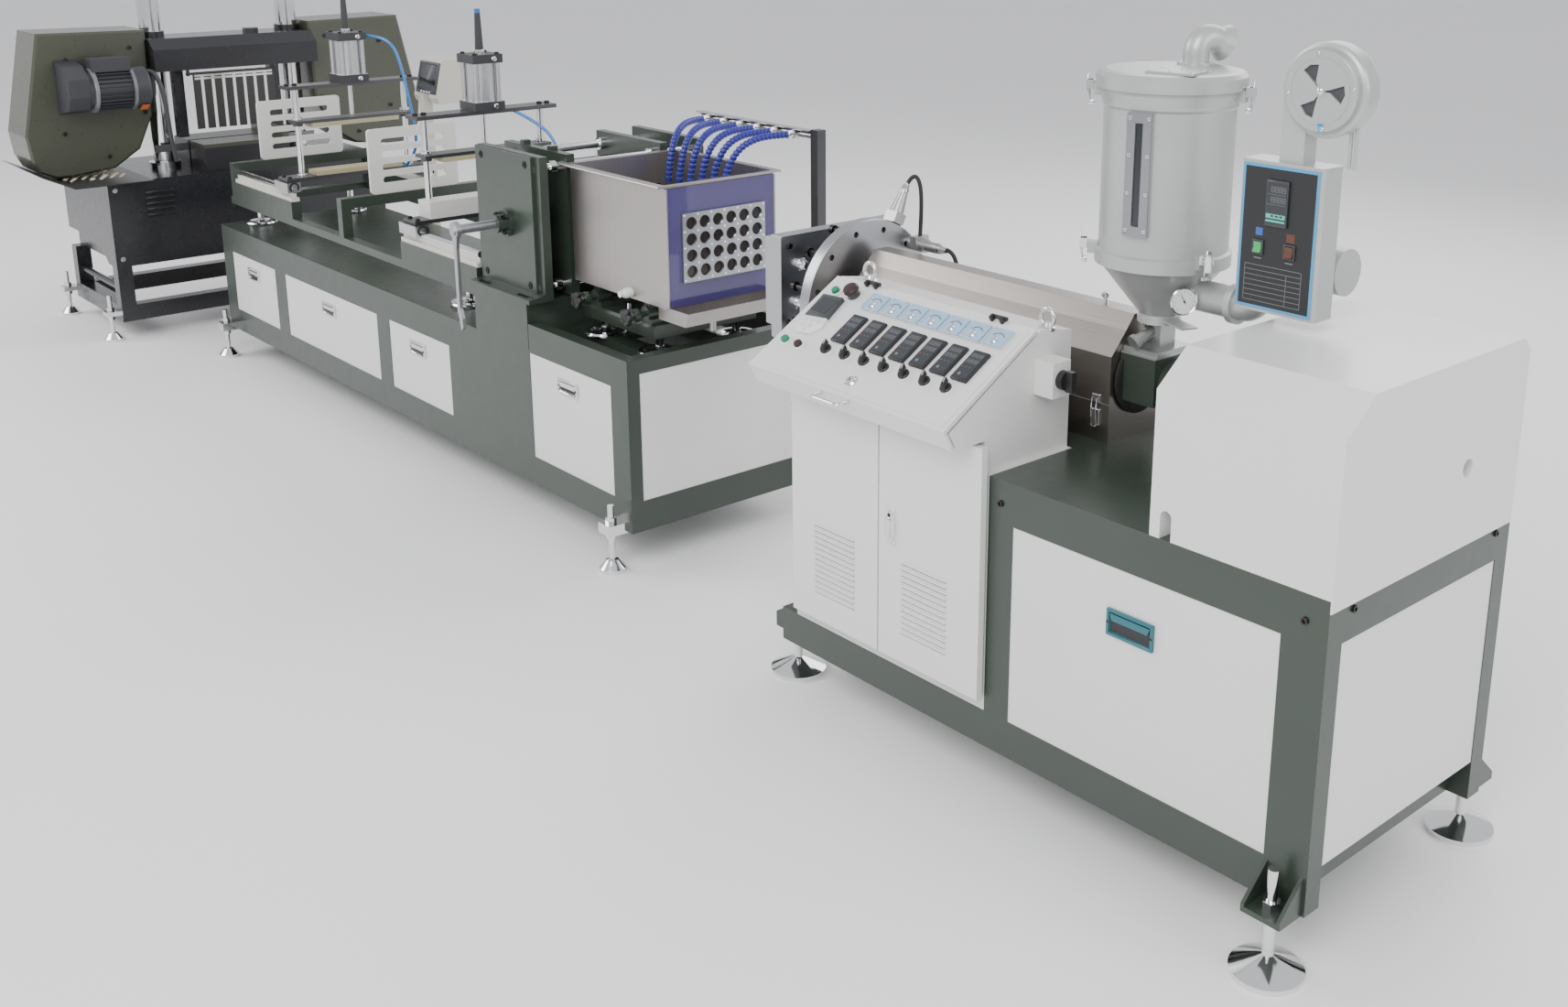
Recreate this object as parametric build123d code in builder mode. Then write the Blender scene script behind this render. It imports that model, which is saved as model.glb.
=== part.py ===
from build123d import *

import os
from math import atan2, cos, degrees, hypot, pi, radians, sin

# Glue stick extrusion line in millimetres: an extruder with a hopper dryer, a cooling bench
# that carries a water tank, a tie rod press and two pullers, and a column band saw.
# +X runs up the line to the drive end, +Y to the back and +Z up. The origin is on the floor,
# under the levelling foot at the front corner of the drive end.

# The line
LINE_Y = 462  # centre plane of everything that the sticks pass through
LINE_Z = 1000  # height of the middle of the stick pattern
SCREW_Z = 948  # height of the extruder screw
STICK_ROWS = 4
STICK_COLUMNS = 6
STICK_PITCH = 50
GAP = 0.5  # between pieces that are slid together
CLEAR = 5  # between pieces that move past each other

# Extruder frame
FRAME_LEFT = -1600
FRAME_DEPTH = 680
FRAME_BOTTOM = 133
DECK_TOP = 800
DECK_SHEET = 10
RAIL_HEIGHT = 91
TOP_RAIL = 90
TUBE = 50
CORNER_POST = 100
MIDDLE_POST_X = (-865, -791)
CABINET_LEFT = -1540
CABINET_DEPTH = 275
PANEL_SHEET = 4
PANEL_INSET = 2

# Extruder feet
FOOT_PAD_R = 75
FOOT_PAD_RIM = 12
FOOT_CONE = 26
FOOT_NECK_R = 20
STUD_R = 12
STUD_TOP = 232
NUT_R = 19
NUT_HEIGHT = 18
BRACKET_SHEET = 12
BRACKET_REACH = 72
BRACKET_WIDTH = 90
BRACKET_RISE = 85
FRONT_FOOT_X = -52
LEFT_FOOT_Y = 80
FOOT_OUT = 34

# Drive housing
HOUSING_LENGTH = 420
HOUSING_SKIRT = 25
HOUSING_SHEET = 3
HOUSING_WALL_TOP = 1109
HOUSING_TOP = 1182
HOUSING_CHAMFER = 91
HOUSING_BACK_CHAMFER = 28
SHAFT_HOLE_R = 19
CABLE_NOTCH = (-395, -367, 62)

# Control cabinet and doors
CABINET_SHEET = 6
DOOR_FACE = -25
DOOR_SHEET = 18
DOOR_SKIN = 2
DOOR_BOTTOM = 256
DOOR_TOP = 868
DOOR_LEFT = -1525
DOOR_SPLIT = -1202
LOUVRE_COUNT = 13
LOUVRE_WIDTH = 150
LOUVRE_PITCH = 15
LOUVRE_BOTTOM = 330
LOUVRE_MID_LEFT = -1364
LOUVRE_MID_RIGHT = -1045

# Console
CONSOLE_X = (-1560, -880)
CONSOLE_SHEET = 8
LIP_BOTTOM = (-103, 877)
PANEL_FOOT = (-133, 928)
PANEL_HEAD = (157, 1103)
CONSOLE_BACK = (276, 1083)
LID_SHEET = 8
INSTRUMENT_COUNT = 7
INSTRUMENT_PITCH = 68
METER_PLACE = (204, 281)
METER_SIZE = (62, 56)
CONTROLLER_PLACE = (200, 184)
CONTROLLER_SIZE = (50, 94)
SWITCH_PLACE = (187, 109)
BUTTON_PLACES = ((53, 284), (49, 97), (100, 95), (338, 46))
STOP_PLACE = (112, 290)
KEYPAD_OUTLINE = ((30, 262), (102, 266), (110, 192), (118, 165), (98, 134), (54, 130), (32, 152), (36, 184))
HINGE_PLACES = (114, 543)
HANDLE_X = (-1285, -1190)
HANDLE_Z = 918
HANDLE_OUT = 62
EYEBOLT_X = (-1498, -898)
EYEBOLT_Y = 212
SWITCH_BOX_Y = (155, 213)
SWITCH_BOX_Z = (953, 1036)
SWITCH_BOX_OUT = 55

# Barrel cover and die
COVER_X = (-1730, -828)
COVER_WALL_TOP = 1011
COVER_SHOULDER = 1066
COVER_RIDGE = 1102
COVER_HALF = 103
COVER_HALF_SHOULDER = 54
COVER_HALF_RIDGE = 25
COVER_SHEET = 3
BARREL_R = 60
BARREL_FLANGE_R = 76
DIE_DISC_X = (-1812, -1776)
DIE_DISC_R = 225
DIE_BOLTS = 12
DIE_BOLT_CIRCLE = 196
DIE_BOLT_R = 8
DIE_BOLT_OUT = 52
HEATER_PLUG_TURN = 27
DIE_PLATE_X = (-1985, -1945, -1900)
DIE_PLATE_HALF = (202, 215)
DIE_PLATE_Z = (872, 1122)
DIE_BACK_Z = (842, 1134)
DIE_OUTLET_R = 11

# Feed throat and hopper dryer
HOPPER_X = -777
HOPPER_R = 147
HOPPER_SHEET = 3
LID_RIM_R = 168
HOPPER_LID_Z = (1633, 1672)
HOPPER_BODY_Z = 1248
HOPPER_NECK_Z = 1112
NECK_R = 47
NECK_HALF = 28
FEED_BLOCK_Z = (905, 1022)
SIGHT_Z = (1318, 1590)
SIGHT_TURN = -76
CLAMP_PLACES = ((-140, 1249), (-20, 1249), (100, 1249), (-150, 1607), (20, 1607))
INLET_R = 36
INLET_REACH = 212
INLET_Z = 1174
DRAIN_TURN = -105
DIAL_TURN = -30
GATE_TURN = -20
ELBOW_PLACE = (-17, 107)
ELBOW_R = 30
ELBOW_TOP = 1776
ELBOW_REACH = (16, 56)
ELBOW_DROP = 52
ELBOW_FLARE_R = 43
FLAP_PLACE = (66, -70)
FLAP_TURN = 14
DRYER_BOX_X = (-485, -290)
DRYER_BOX_Y = (330, 400)
DRYER_BOX_Z = (1208, 1524)
HEATER_R = 50
BLOWER_R = 95
BLOWER_DEPTH = 66
BLOWER_X = -312
BLOWER_Z = 1676
MOTOR_CAN_R = 42
DUCT_WIDTH = 58
INLET_VANE = ((6, 4), (20, 10), (52, 6), (50, 26), (38, 40), (26, 26))

# Bench
BENCH_X = (-5684, -2466)
BENCH_FRONT = 105
BENCH_BOTTOM = 124
RIM_TOP = 679
BENCH_DECK = 590
BLOCK_X = (-3384, -3040)
BLOCK_TOP = 745
BENCH_TUBE = 45
BENCH_RAIL = 98
PIT_RAIL = 70
PIT_RAIL_Z = (590, 640)
DISC_HALF = 150
DISC_R = 66
BENCH_PANELS = ((-5580, -5119, 484), (-5016, -4165, 484), (-4063, -3596, 484), (-3037, -2559, 582))
BENCH_PANEL_BOTTOM = 222
BENCH_PAD_R = 42
BENCH_STUD_R = 10

# Cooling tank
TANK_X = (-2980, -2462)
TANK_HALF = 207
TANK_Z = (815, 1190)
TANK_SHEET = 3
TANK_RIM = 24
WINDOW_SHEET = 10
WINDOW_BORDER = 22
PLATE_BORDER = 14
PLATE_SHEET = 12
STICK_HOLE_R = 19
TRAY_OUT = 95
TRAY_HEIGHT = 42
SLIDE_X = (-2945, -2548)
SLIDE_TOP = 742
SLIDE_SHEET = 42

# Coolant manifold
MANIFOLD_POST = 35
MANIFOLD_TOP = 1300
MANIFOLD_X = (-3110, -2505)
MANIFOLD_Y = 860
HOSE_R = 11
HOSE_COUNT = 6
HOSE_START = 66
HOSE_PITCH = 92
HOSE_END_X = (-2900, -2600)
HOSE_REACH = 260
HOSE_DROP = 170

# Press
PRESS_PLATE_X = (-3410, -3018)
PRESS_TOP = 1218
PRESS_FRONT_Y = 165
PRESS_PLATE = 30
PRESS_MOVING_Y = 265
PRESS_FIXED_Y = 630
STICK_BORE_R = 16
PRESS_BACK_Y = 810
TIE_ROD_R = 14
TIE_ROD_INSET = 42
SIZING_X = (-3330, -3098)
FACE_STEP = 34
FACE_SHEET = 12
NUT_FLANGE = 16
SCREW_R = 16
SCREW_OUT = 215
THREAD_COUNT = 16
THREAD_PITCH = 8
BOSS_R = 36
BOSS_LENGTH = 35
PLATEN_TRAVEL = 12

# Pullers
PORTAL_X = (-5585, -4500)
PORTAL_HALF = 322
PORTAL_TOP = 872
PORTAL_TUBE = 40
BEAM_Z = (690, 790)
BEAM_SHEET = 40
BEAM_BOTTOM_SHEET = 30
RAIL_Z = 835
RAIL_R = 12
RAIL_HALF = 300
PULLER_DISC_X = (-5595, -3700)
PULLER_DISC_HALF = 210
PULLER_BEAMS = ((-5565, -4965), (-3990, -3425))
STATION_X = (-5035, -3910)
STATION_TRAVEL = (-380, 330)
STATION_HALF = 285
POST_HALF = 237
STATION_TOP = 1255
STATION_SHEET = 14
STATION_WIDTH = 90
POST_R = 12
CLAMP_Z = 1100
CLAMP_TRAVEL = 30
PAD_HALF = 190
PAD_HEIGHT = 18
RISER_HALF = 258
RISER_HEIGHT = 62
CYLINDER_SIDE = 120
CYLINDER_HEIGHT = 203
CYLINDER_CAP = 32
SILENCER_HEIGHT = 162
SLOT_PLATE = (376, 14)
HMI_X = (-5219, -5005)
HMI_Y = (840, 990)
HMI_Z = (1126, 1316)
HMI_POST_X = (-5130, -5090)
HMI_POST = 41

# Band saw
SAW_X = (-6870, -6200)
SAW_Y = (-200, 1124)
SAW_BODY_Z = (343, 735)
SAW_RAIL = 66
SAW_COLUMN_X = -6500
SAW_COLUMN_R = 49
SAW_MIDDLE = 488
SAW_COLUMN_HALF = 326
SAW_COLUMN_TOP = 1760
SAW_BEAM_X = (-6600, -6300)
SAW_BEAM_Z = (1206, 1352)
SAW_COVER_X = (-6660, -6380)
SAW_COVER_OUTLINE = (
    (388, 1395),
    (858, 1402),
    (952, 950),
    (940, 845),
    (911, 782),
    (846, 752),
    (766, 752),
    (586, 772),
    (466, 850),
    (398, 1000),
)
SAW_LOUVRES = 5
SAW_LOUVRE_Z = 560
SAW_RAIL_Z = (85, 160)
SAW_TABLE_X = (-6620, -6225)
SAW_CURTAIN_LOW = 925
MOTOR_FINS = 14
SAW_BLADE_X = -6420
SAW_BLADE_Z = (818, 852)
SAW_TABLE_Z = 862
SAW_MOTOR = (-6265, 1150, 96)


def block(x, y, z, mode=Mode.ADD):
    """A box between pairs of low and high values."""
    with Locations((x[0], y[0], z[0])):
        Box(x[1] - x[0], y[1] - y[0], z[1] - z[0], align=(Align.MIN,) * 3, mode=mode)


def rod(radius, start, axis, length, mode=Mode.ADD):
    """A round bar from its start point along X, Y or Z."""
    turn = {"X": (0, 90, 0), "Y": (-90, 0, 0), "Z": (0, 0, 0)}[axis]
    with Locations(Location(start, turn)):
        Cylinder(radius, length, align=(Align.CENTER, Align.CENTER, Align.MIN), mode=mode)


def prism_x(points, x, mode=Mode.ADD):
    """A (y, z) outline pulled along X between two places."""
    with BuildSketch(Plane.YZ.offset(x[0])) as outline:
        with BuildLine():
            Polyline(*points, close=True)
        make_face()
    extrude(outline.sketch, amount=x[1] - x[0], dir=(1, 0, 0), mode=mode)


def prism_y(points, y, mode=Mode.ADD):
    """An (x, z) outline pulled along Y between two places."""
    with BuildSketch(Plane.XZ.offset(-y[0])) as outline:
        with BuildLine():
            Polyline(*points, close=True)
        make_face()
    extrude(outline.sketch, amount=y[1] - y[0], dir=(0, 1, 0), mode=mode)


def foot(x, y, pad_r, stud_r, stud_top, bracket):
    """A levelling foot: a coned pad on the floor, its stud, and nuts on both faces of a bracket."""
    with BuildSketch(Plane.XZ.offset(-y)) as profile:
        with BuildLine():
            Polyline(
                (x, 0),
                (x + pad_r, 0),
                (x + pad_r, FOOT_PAD_RIM),
                (x + FOOT_NECK_R, FOOT_PAD_RIM + FOOT_CONE),
                (x + stud_r, FOOT_PAD_RIM + FOOT_CONE + 4),
                (x + stud_r, stud_top),
                (x, stud_top),
                close=True,
            )
        make_face()
    revolve(profile.sketch, axis=Axis((x, y, 0), (0, 0, 1)))
    for low in (bracket[0] - NUT_HEIGHT, bracket[1]):
        with BuildSketch(Plane.XY.offset(low)) as nut:
            with Locations((x, y)):
                RegularPolygon(stud_r + NUT_R - STUD_R, 6)
        extrude(nut.sketch, amount=NUT_HEIGHT)


def write(piece, label):
    piece.part.label = label
    export_step(piece.part, f"parts/{label}.step")


os.makedirs("parts", exist_ok=True)

# Extruder frame: welded tube with a sheet deck, and a gusseted bracket for each foot
rail_top = FRAME_BOTTOM + RAIL_HEIGHT
deck_bottom = DECK_TOP - DECK_SHEET
top_rail_bottom = deck_bottom - TOP_RAIL
front_and_back = ((0, TUBE), (FRAME_DEPTH - TUBE, FRAME_DEPTH))
cabinet_x = (CABINET_LEFT, MIDDLE_POST_X[0])
foot_places = (
    (FRONT_FOOT_X, -FOOT_OUT),
    (FRONT_FOOT_X, FRAME_DEPTH + FOOT_OUT),
    (FRAME_LEFT - FOOT_OUT, LEFT_FOOT_Y),
    (FRAME_LEFT - FOOT_OUT, FRAME_DEPTH - LEFT_FOOT_Y),
)
bracket_z = (FRAME_BOTTOM, FRAME_BOTTOM + BRACKET_SHEET)

with BuildPart() as extruder_frame:
    for depth in front_and_back:
        block((FRAME_LEFT, 0), depth, (FRAME_BOTTOM, rail_top))
    for x in (FRAME_LEFT, MIDDLE_POST_X[0], -CORNER_POST):
        block((x, x + TUBE), (0, FRAME_DEPTH), (FRAME_BOTTOM, rail_top))
    for depth in front_and_back:
        for post in ((-CORNER_POST, 0), MIDDLE_POST_X):
            block(post, depth, (rail_top, deck_bottom))
        block((MIDDLE_POST_X[0], 0), depth, (top_rail_bottom, deck_bottom))
    block((-CORNER_POST, 0), (0, FRAME_DEPTH), (top_rail_bottom, deck_bottom))
    block((CABINET_LEFT, -CORNER_POST), front_and_back[1], (top_rail_bottom, deck_bottom))
    for y in (CABINET_DEPTH, FRAME_DEPTH - TUBE):
        block((CABINET_LEFT, CABINET_LEFT + TUBE), (y, y + TUBE), (rail_top, deck_bottom))
    block((CABINET_LEFT, CABINET_LEFT + TUBE), (CABINET_DEPTH, FRAME_DEPTH), (top_rail_bottom, deck_bottom))
    block((MIDDLE_POST_X[0], 0), (0, FRAME_DEPTH), (deck_bottom, DECK_TOP))
    block((CABINET_LEFT, 0), (CABINET_DEPTH, FRAME_DEPTH), (deck_bottom, DECK_TOP))
    for x, y in foot_places[:2]:
        inner, outer = (0, -BRACKET_REACH) if y < 0 else (FRAME_DEPTH, FRAME_DEPTH + BRACKET_REACH)
        block((x - BRACKET_WIDTH / 2, x + BRACKET_WIDTH / 2), sorted((inner, outer)), bracket_z)
        gusset = [(inner, FRAME_BOTTOM), (outer, FRAME_BOTTOM), (outer, bracket_z[1] + 6)]
        gusset.append((inner, FRAME_BOTTOM + BRACKET_RISE))
        for side in (x - BRACKET_WIDTH / 2, x + BRACKET_WIDTH / 2 - 8):
            prism_x(gusset, (side, side + 8))
    for x, y in foot_places[2:]:
        outer = FRAME_LEFT - BRACKET_REACH
        block((outer, FRAME_LEFT), (y - BRACKET_WIDTH / 2, y + BRACKET_WIDTH / 2), bracket_z)
        gusset = [(FRAME_LEFT, FRAME_BOTTOM), (outer, FRAME_BOTTOM), (outer, bracket_z[1] + 30)]
        gusset.append((FRAME_LEFT, FRAME_BOTTOM + BRACKET_RISE))
        for side in (y - BRACKET_WIDTH / 2, y + BRACKET_WIDTH / 2 - 8):
            prism_y(gusset, (side, side + 8))
    for x, y in foot_places:
        rod(STUD_R + GAP, (x, y, FRAME_BOTTOM), "Z", BRACKET_SHEET, Mode.SUBTRACT)

with BuildPart() as extruder_feet:
    for x, y in foot_places:
        foot(x, y, FOOT_PAD_R, STUD_R, STUD_TOP, bracket_z)

# White sheet panels that close the frame, set in from its faces
with BuildPart() as extruder_panels:
    panel_z = (rail_top, top_rail_bottom)
    bay = (MIDDLE_POST_X[1], -CORNER_POST)
    for y in (PANEL_INSET, FRAME_DEPTH - PANEL_INSET - PANEL_SHEET):
        block(bay, (y, y + PANEL_SHEET), panel_z)
    inner_y = (front_and_back[0][1], front_and_back[1][0])
    block((-PANEL_INSET - PANEL_SHEET, -PANEL_INSET), inner_y, panel_z)
    back_y = FRAME_DEPTH - PANEL_INSET
    block((CABINET_LEFT + TUBE, MIDDLE_POST_X[0]), (back_y - PANEL_SHEET, back_y), panel_z)
    left_x = CABINET_LEFT + PANEL_INSET
    left_y = (CABINET_DEPTH + TUBE, FRAME_DEPTH - TUBE)
    block((left_x, left_x + PANEL_SHEET), left_y, panel_z)

# Drive housing: one folded hood over the gearbox, with an end plate that laps the frame
housing_back = FRAME_DEPTH - 4
housing_outline = [
    (0, DECK_TOP),
    (0, HOUSING_WALL_TOP),
    (HOUSING_CHAMFER, HOUSING_TOP),
    (housing_back - HOUSING_BACK_CHAMFER, HOUSING_TOP),
    (housing_back, HOUSING_TOP - HOUSING_BACK_CHAMFER),
    (housing_back, DECK_TOP),
]
skirt_outline = [(0, DECK_TOP - HOUSING_SKIRT)] + housing_outline[1:5]
skirt_outline.append((housing_back, DECK_TOP - HOUSING_SKIRT))
with BuildPart() as drive_housing:
    prism_x(housing_outline, (-HOUSING_LENGTH, 0))
    prism_x(skirt_outline, (0, HOUSING_SHEET))
    rod(SHAFT_HOLE_R, (-40, LINE_Y, SCREW_Z), "X", 40 + HOUSING_SHEET, Mode.SUBTRACT)
    notch_left, notch_right, notch_top = CABLE_NOTCH
    notch_mid = (notch_left + notch_right) / 2
    notch_r = (notch_right - notch_left) / 2
    block((notch_left, notch_right), (0, 40), (DECK_TOP, DECK_TOP + notch_top - notch_r), Mode.SUBTRACT)
    rod(notch_r, (notch_mid, 0, DECK_TOP + notch_top - notch_r), "Y", 40, Mode.SUBTRACT)

# Control cabinet: a sheet box in the frame's left bay, open to the front behind its doors
with BuildPart() as control_cabinet:
    block(cabinet_x, (0, CABINET_DEPTH), (rail_top, DECK_TOP))
    inner_x = (CABINET_LEFT + 20, MIDDLE_POST_X[0] - 20)
    block(inner_x, (0, CABINET_DEPTH - CABINET_SHEET), (rail_top + 40, DECK_TOP - 20), Mode.SUBTRACT)

door_z = (DOOR_BOTTOM, DOOR_TOP)
door_y = (DOOR_FACE, DOOR_FACE + DOOR_SHEET)


def door(x, louvre_mid, latch):
    """A tray shaped sheet door with pressed louvres and, on one leaf, the pocket of a flush latch."""
    block(x, door_y, door_z)
    block(
        (x[0] + DOOR_SKIN, x[1] - DOOR_SKIN),
        (DOOR_FACE + DOOR_SKIN, door_y[1]),
        (door_z[0] + DOOR_SKIN, door_z[1] - DOOR_SKIN),
        Mode.SUBTRACT,
    )
    for step in range(LOUVRE_COUNT):
        z = LOUVRE_BOTTOM + step * LOUVRE_PITCH
        half = LOUVRE_WIDTH / 2
        block((louvre_mid - half, louvre_mid + half), (DOOR_FACE, DOOR_FACE + DOOR_SKIN), (z, z + 4), Mode.SUBTRACT)
    if latch:
        block((x[0] + 28, x[0] + 58), (DOOR_FACE - 4, DOOR_FACE), (552, 642))


with BuildPart() as cabinet_door_left:
    door((DOOR_LEFT, DOOR_SPLIT - CLEAR / 2), LOUVRE_MID_LEFT, False)

with BuildPart() as cabinet_door_right:
    door((DOOR_SPLIT + CLEAR / 2, MIDDLE_POST_X[0]), LOUVRE_MID_RIGHT, True)

# Console: a folded desk whose sloping lid is hinged along its upper edge
slope = atan2(PANEL_HEAD[1] - PANEL_FOOT[1], PANEL_HEAD[0] - PANEL_FOOT[0])
slope_length = hypot(PANEL_HEAD[0] - PANEL_FOOT[0], PANEL_HEAD[1] - PANEL_FOOT[1])
lid_drop = LID_SHEET + CLEAR


def under_slope(point, depth):
    """A point set in square to the lid's slope."""
    return (point[0] + depth * sin(slope), point[1] - depth * cos(slope))


desk_foot = (LIP_BOTTOM[0] + lid_drop, LIP_BOTTOM[1])
desk_lip = under_slope((PANEL_FOOT[0] + lid_drop, PANEL_FOOT[1]), lid_drop - 2)
desk_head = under_slope(PANEL_HEAD, lid_drop)
desk_outline = [
    (0, DECK_TOP),
    (0, LIP_BOTTOM[1]),
    desk_foot,
    desk_lip,
    desk_head,
    (PANEL_HEAD[0] + 12, PANEL_HEAD[1] - 3),
    CONSOLE_BACK,
    (CABINET_DEPTH, DECK_TOP),
]
hollow_outline = [
    (CONSOLE_SHEET, DECK_TOP + CONSOLE_SHEET),
    (CONSOLE_SHEET, LIP_BOTTOM[1] + CONSOLE_SHEET),
    (desk_foot[0] + CONSOLE_SHEET, LIP_BOTTOM[1] + CONSOLE_SHEET),
    (desk_lip[0] + CONSOLE_SHEET, desk_lip[1] - 2),
    (desk_lip[0] + CONSOLE_SHEET, desk_lip[1] + 60),
    (desk_head[0] - CONSOLE_SHEET, desk_head[1] + 60),
    (desk_head[0] - CONSOLE_SHEET, desk_head[1] - 20),
    (CONSOLE_BACK[0] - CONSOLE_SHEET, CONSOLE_BACK[1] - 24),
    (CABINET_DEPTH - CONSOLE_SHEET, DECK_TOP + CONSOLE_SHEET),
]
with BuildPart() as control_console:
    prism_x(desk_outline, CONSOLE_X)
    prism_x(hollow_outline, (CONSOLE_X[0] + CONSOLE_SHEET, CONSOLE_X[1] - CONSOLE_SHEET), Mode.SUBTRACT)
    block((CONSOLE_X[1], CONSOLE_X[1] + SWITCH_BOX_OUT), SWITCH_BOX_Y, SWITCH_BOX_Z)
    for x in EYEBOLT_X:
        rod(9, (x, EYEBOLT_Y, CONSOLE_BACK[1] - 6), "Z", 22)
        with Locations(Location((x, EYEBOLT_Y, CONSOLE_BACK[1] + 36), (90, 0, 0))):
            Torus(20, 5)

lid_outline = [
    LIP_BOTTOM,
    PANEL_FOOT,
    PANEL_HEAD,
    under_slope(PANEL_HEAD, LID_SHEET),
    under_slope((PANEL_FOOT[0] + LID_SHEET, PANEL_FOOT[1] + 2), LID_SHEET),
    (LIP_BOTTOM[0] + LID_SHEET, LIP_BOTTOM[1]),
]
with BuildPart() as console_lid:
    prism_x(lid_outline, CONSOLE_X)

# What is set in the lid: rows of meters, controllers and switches, a keypad, buttons and a lock
lid_plane = Plane(
    origin=(CONSOLE_X[0], PANEL_FOOT[0], PANEL_FOOT[1]),
    x_dir=(1, 0, 0),
    z_dir=(0, -sin(slope), cos(slope)),
)
upright = (Align.CENTER, Align.CENTER, Align.MIN)
with BuildPart(lid_plane) as console_instruments:
    for index in range(INSTRUMENT_COUNT):
        step = index * INSTRUMENT_PITCH
        with Locations((METER_PLACE[0] + step, METER_PLACE[1], 0)):
            Box(*METER_SIZE, 12, align=upright)
        with Locations((CONTROLLER_PLACE[0] + step, CONTROLLER_PLACE[1], 0)):
            Box(*CONTROLLER_SIZE, 9, align=upright)
        with Locations((SWITCH_PLACE[0] + step, SWITCH_PLACE[1], 0)):
            Cylinder(15, 6, align=upright)
        with Locations(Location((SWITCH_PLACE[0] + step, SWITCH_PLACE[1], 6), (0, 0, 25))):
            Box(9, 34, 16, align=upright)
    for u, v in BUTTON_PLACES:
        with Locations((u, v, 0)):
            Cylinder(13, 11, align=upright)
    with Locations((STOP_PLACE[0], STOP_PLACE[1], 0)):
        Cylinder(13, 18, align=upright)
    with Locations((STOP_PLACE[0], STOP_PLACE[1], 18)):
        Cone(21, 15, 15, align=upright)
    with BuildSketch(lid_plane):
        with BuildLine():
            Polyline(*KEYPAD_OUTLINE, close=True)
        make_face()
    extrude(amount=11)

# Pull handle, and the two hinge knuckles on the lid's upper edge
with BuildPart() as lid_fittings:
    for u in HINGE_PLACES:
        rod(5, (CONSOLE_X[0] + u, PANEL_HEAD[0], PANEL_HEAD[1] + 6), "X", 46)
    lip_rise = (HANDLE_Z + 5 - LIP_BOTTOM[1]) / (PANEL_FOOT[1] - LIP_BOTTOM[1])
    grip_y = (LIP_BOTTOM[0] - HANDLE_OUT, LIP_BOTTOM[0] + lip_rise * (PANEL_FOOT[0] - LIP_BOTTOM[0]) - 1)
    with BuildLine() as grip_path:
        FilletPolyline(
            (HANDLE_X[0], grip_y[1], HANDLE_Z),
            (HANDLE_X[0], grip_y[0], HANDLE_Z),
            (HANDLE_X[1], grip_y[0], HANDLE_Z),
            (HANDLE_X[1], grip_y[1], HANDLE_Z),
            radius=14,
        )
    with BuildSketch(Plane(origin=(HANDLE_X[0], grip_y[1], HANDLE_Z), z_dir=(0, -1, 0))):
        Circle(5)
    sweep(path=grip_path.wires()[0])

# Rotary knob of the main switch, on the switch box
knob_y = sum(SWITCH_BOX_Y) / 2
knob_z = sum(SWITCH_BOX_Z) / 2
knob_x = CONSOLE_X[1] + SWITCH_BOX_OUT + GAP
with BuildPart() as main_switch_knob:
    rod(22, (knob_x, knob_y, knob_z), "X", 16)
    block((knob_x + 16, knob_x + 36), (knob_y - 7, knob_y + 7), (knob_z - 24, knob_z + 24))

# Barrel with its drive flange, and the stainless cover that stands over it
with BuildPart() as barrel:
    rod(BARREL_R, (DIE_DISC_X[0], LINE_Y, SCREW_Z), "X", -HOUSING_LENGTH - DIE_DISC_X[0])
    rod(BARREL_FLANGE_R, (-HOUSING_LENGTH - 40, LINE_Y, SCREW_Z), "X", 40)

cover_outline = [
    (LINE_Y - COVER_HALF, DECK_TOP),
    (LINE_Y - COVER_HALF, COVER_WALL_TOP),
    (LINE_Y - COVER_HALF_SHOULDER, COVER_SHOULDER),
    (LINE_Y - COVER_HALF_RIDGE, COVER_RIDGE),
    (LINE_Y + COVER_HALF_RIDGE, COVER_RIDGE),
    (LINE_Y + COVER_HALF_SHOULDER, COVER_SHOULDER),
    (LINE_Y + COVER_HALF, COVER_WALL_TOP),
    (LINE_Y + COVER_HALF, DECK_TOP),
]
with BuildPart() as barrel_cover:
    prism_x(cover_outline, COVER_X)
    inner = [
        (LINE_Y + (y - LINE_Y) * (COVER_HALF - COVER_SHEET) / COVER_HALF, z - (COVER_SHEET if z > DECK_TOP else 0))
        for y, z in cover_outline
    ]
    prism_x(inner, (COVER_X[0] + COVER_SHEET, COVER_X[1] - COVER_SHEET), Mode.SUBTRACT)
    rod(BARREL_R + 4, (COVER_X[0], LINE_Y, SCREW_Z), "X", COVER_X[1] - COVER_X[0], Mode.SUBTRACT)

# Round die flange on the barrel's nose, its long bolts, and the square plates with the outlets
bolt_angles = [2 * pi * (index + 0.5) / DIE_BOLTS for index in range(DIE_BOLTS)]
bolt_places = [(LINE_Y + DIE_BOLT_CIRCLE * cos(a), SCREW_Z + DIE_BOLT_CIRCLE * sin(a)) for a in bolt_angles]
disc_width = DIE_DISC_X[1] - DIE_DISC_X[0]
with BuildPart() as die_flange:
    rod(DIE_DISC_R, (DIE_DISC_X[0], LINE_Y, SCREW_Z), "X", disc_width)
    chamfer(die_flange.edges().filter_by(GeomType.CIRCLE), 3)
    rod(BARREL_R + GAP, (DIE_DISC_X[0], LINE_Y, SCREW_Z), "X", disc_width, Mode.SUBTRACT)
    for y, z in bolt_places:
        rod(DIE_BOLT_R + GAP, (DIE_DISC_X[0], y, z), "X", disc_width, Mode.SUBTRACT)

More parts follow.
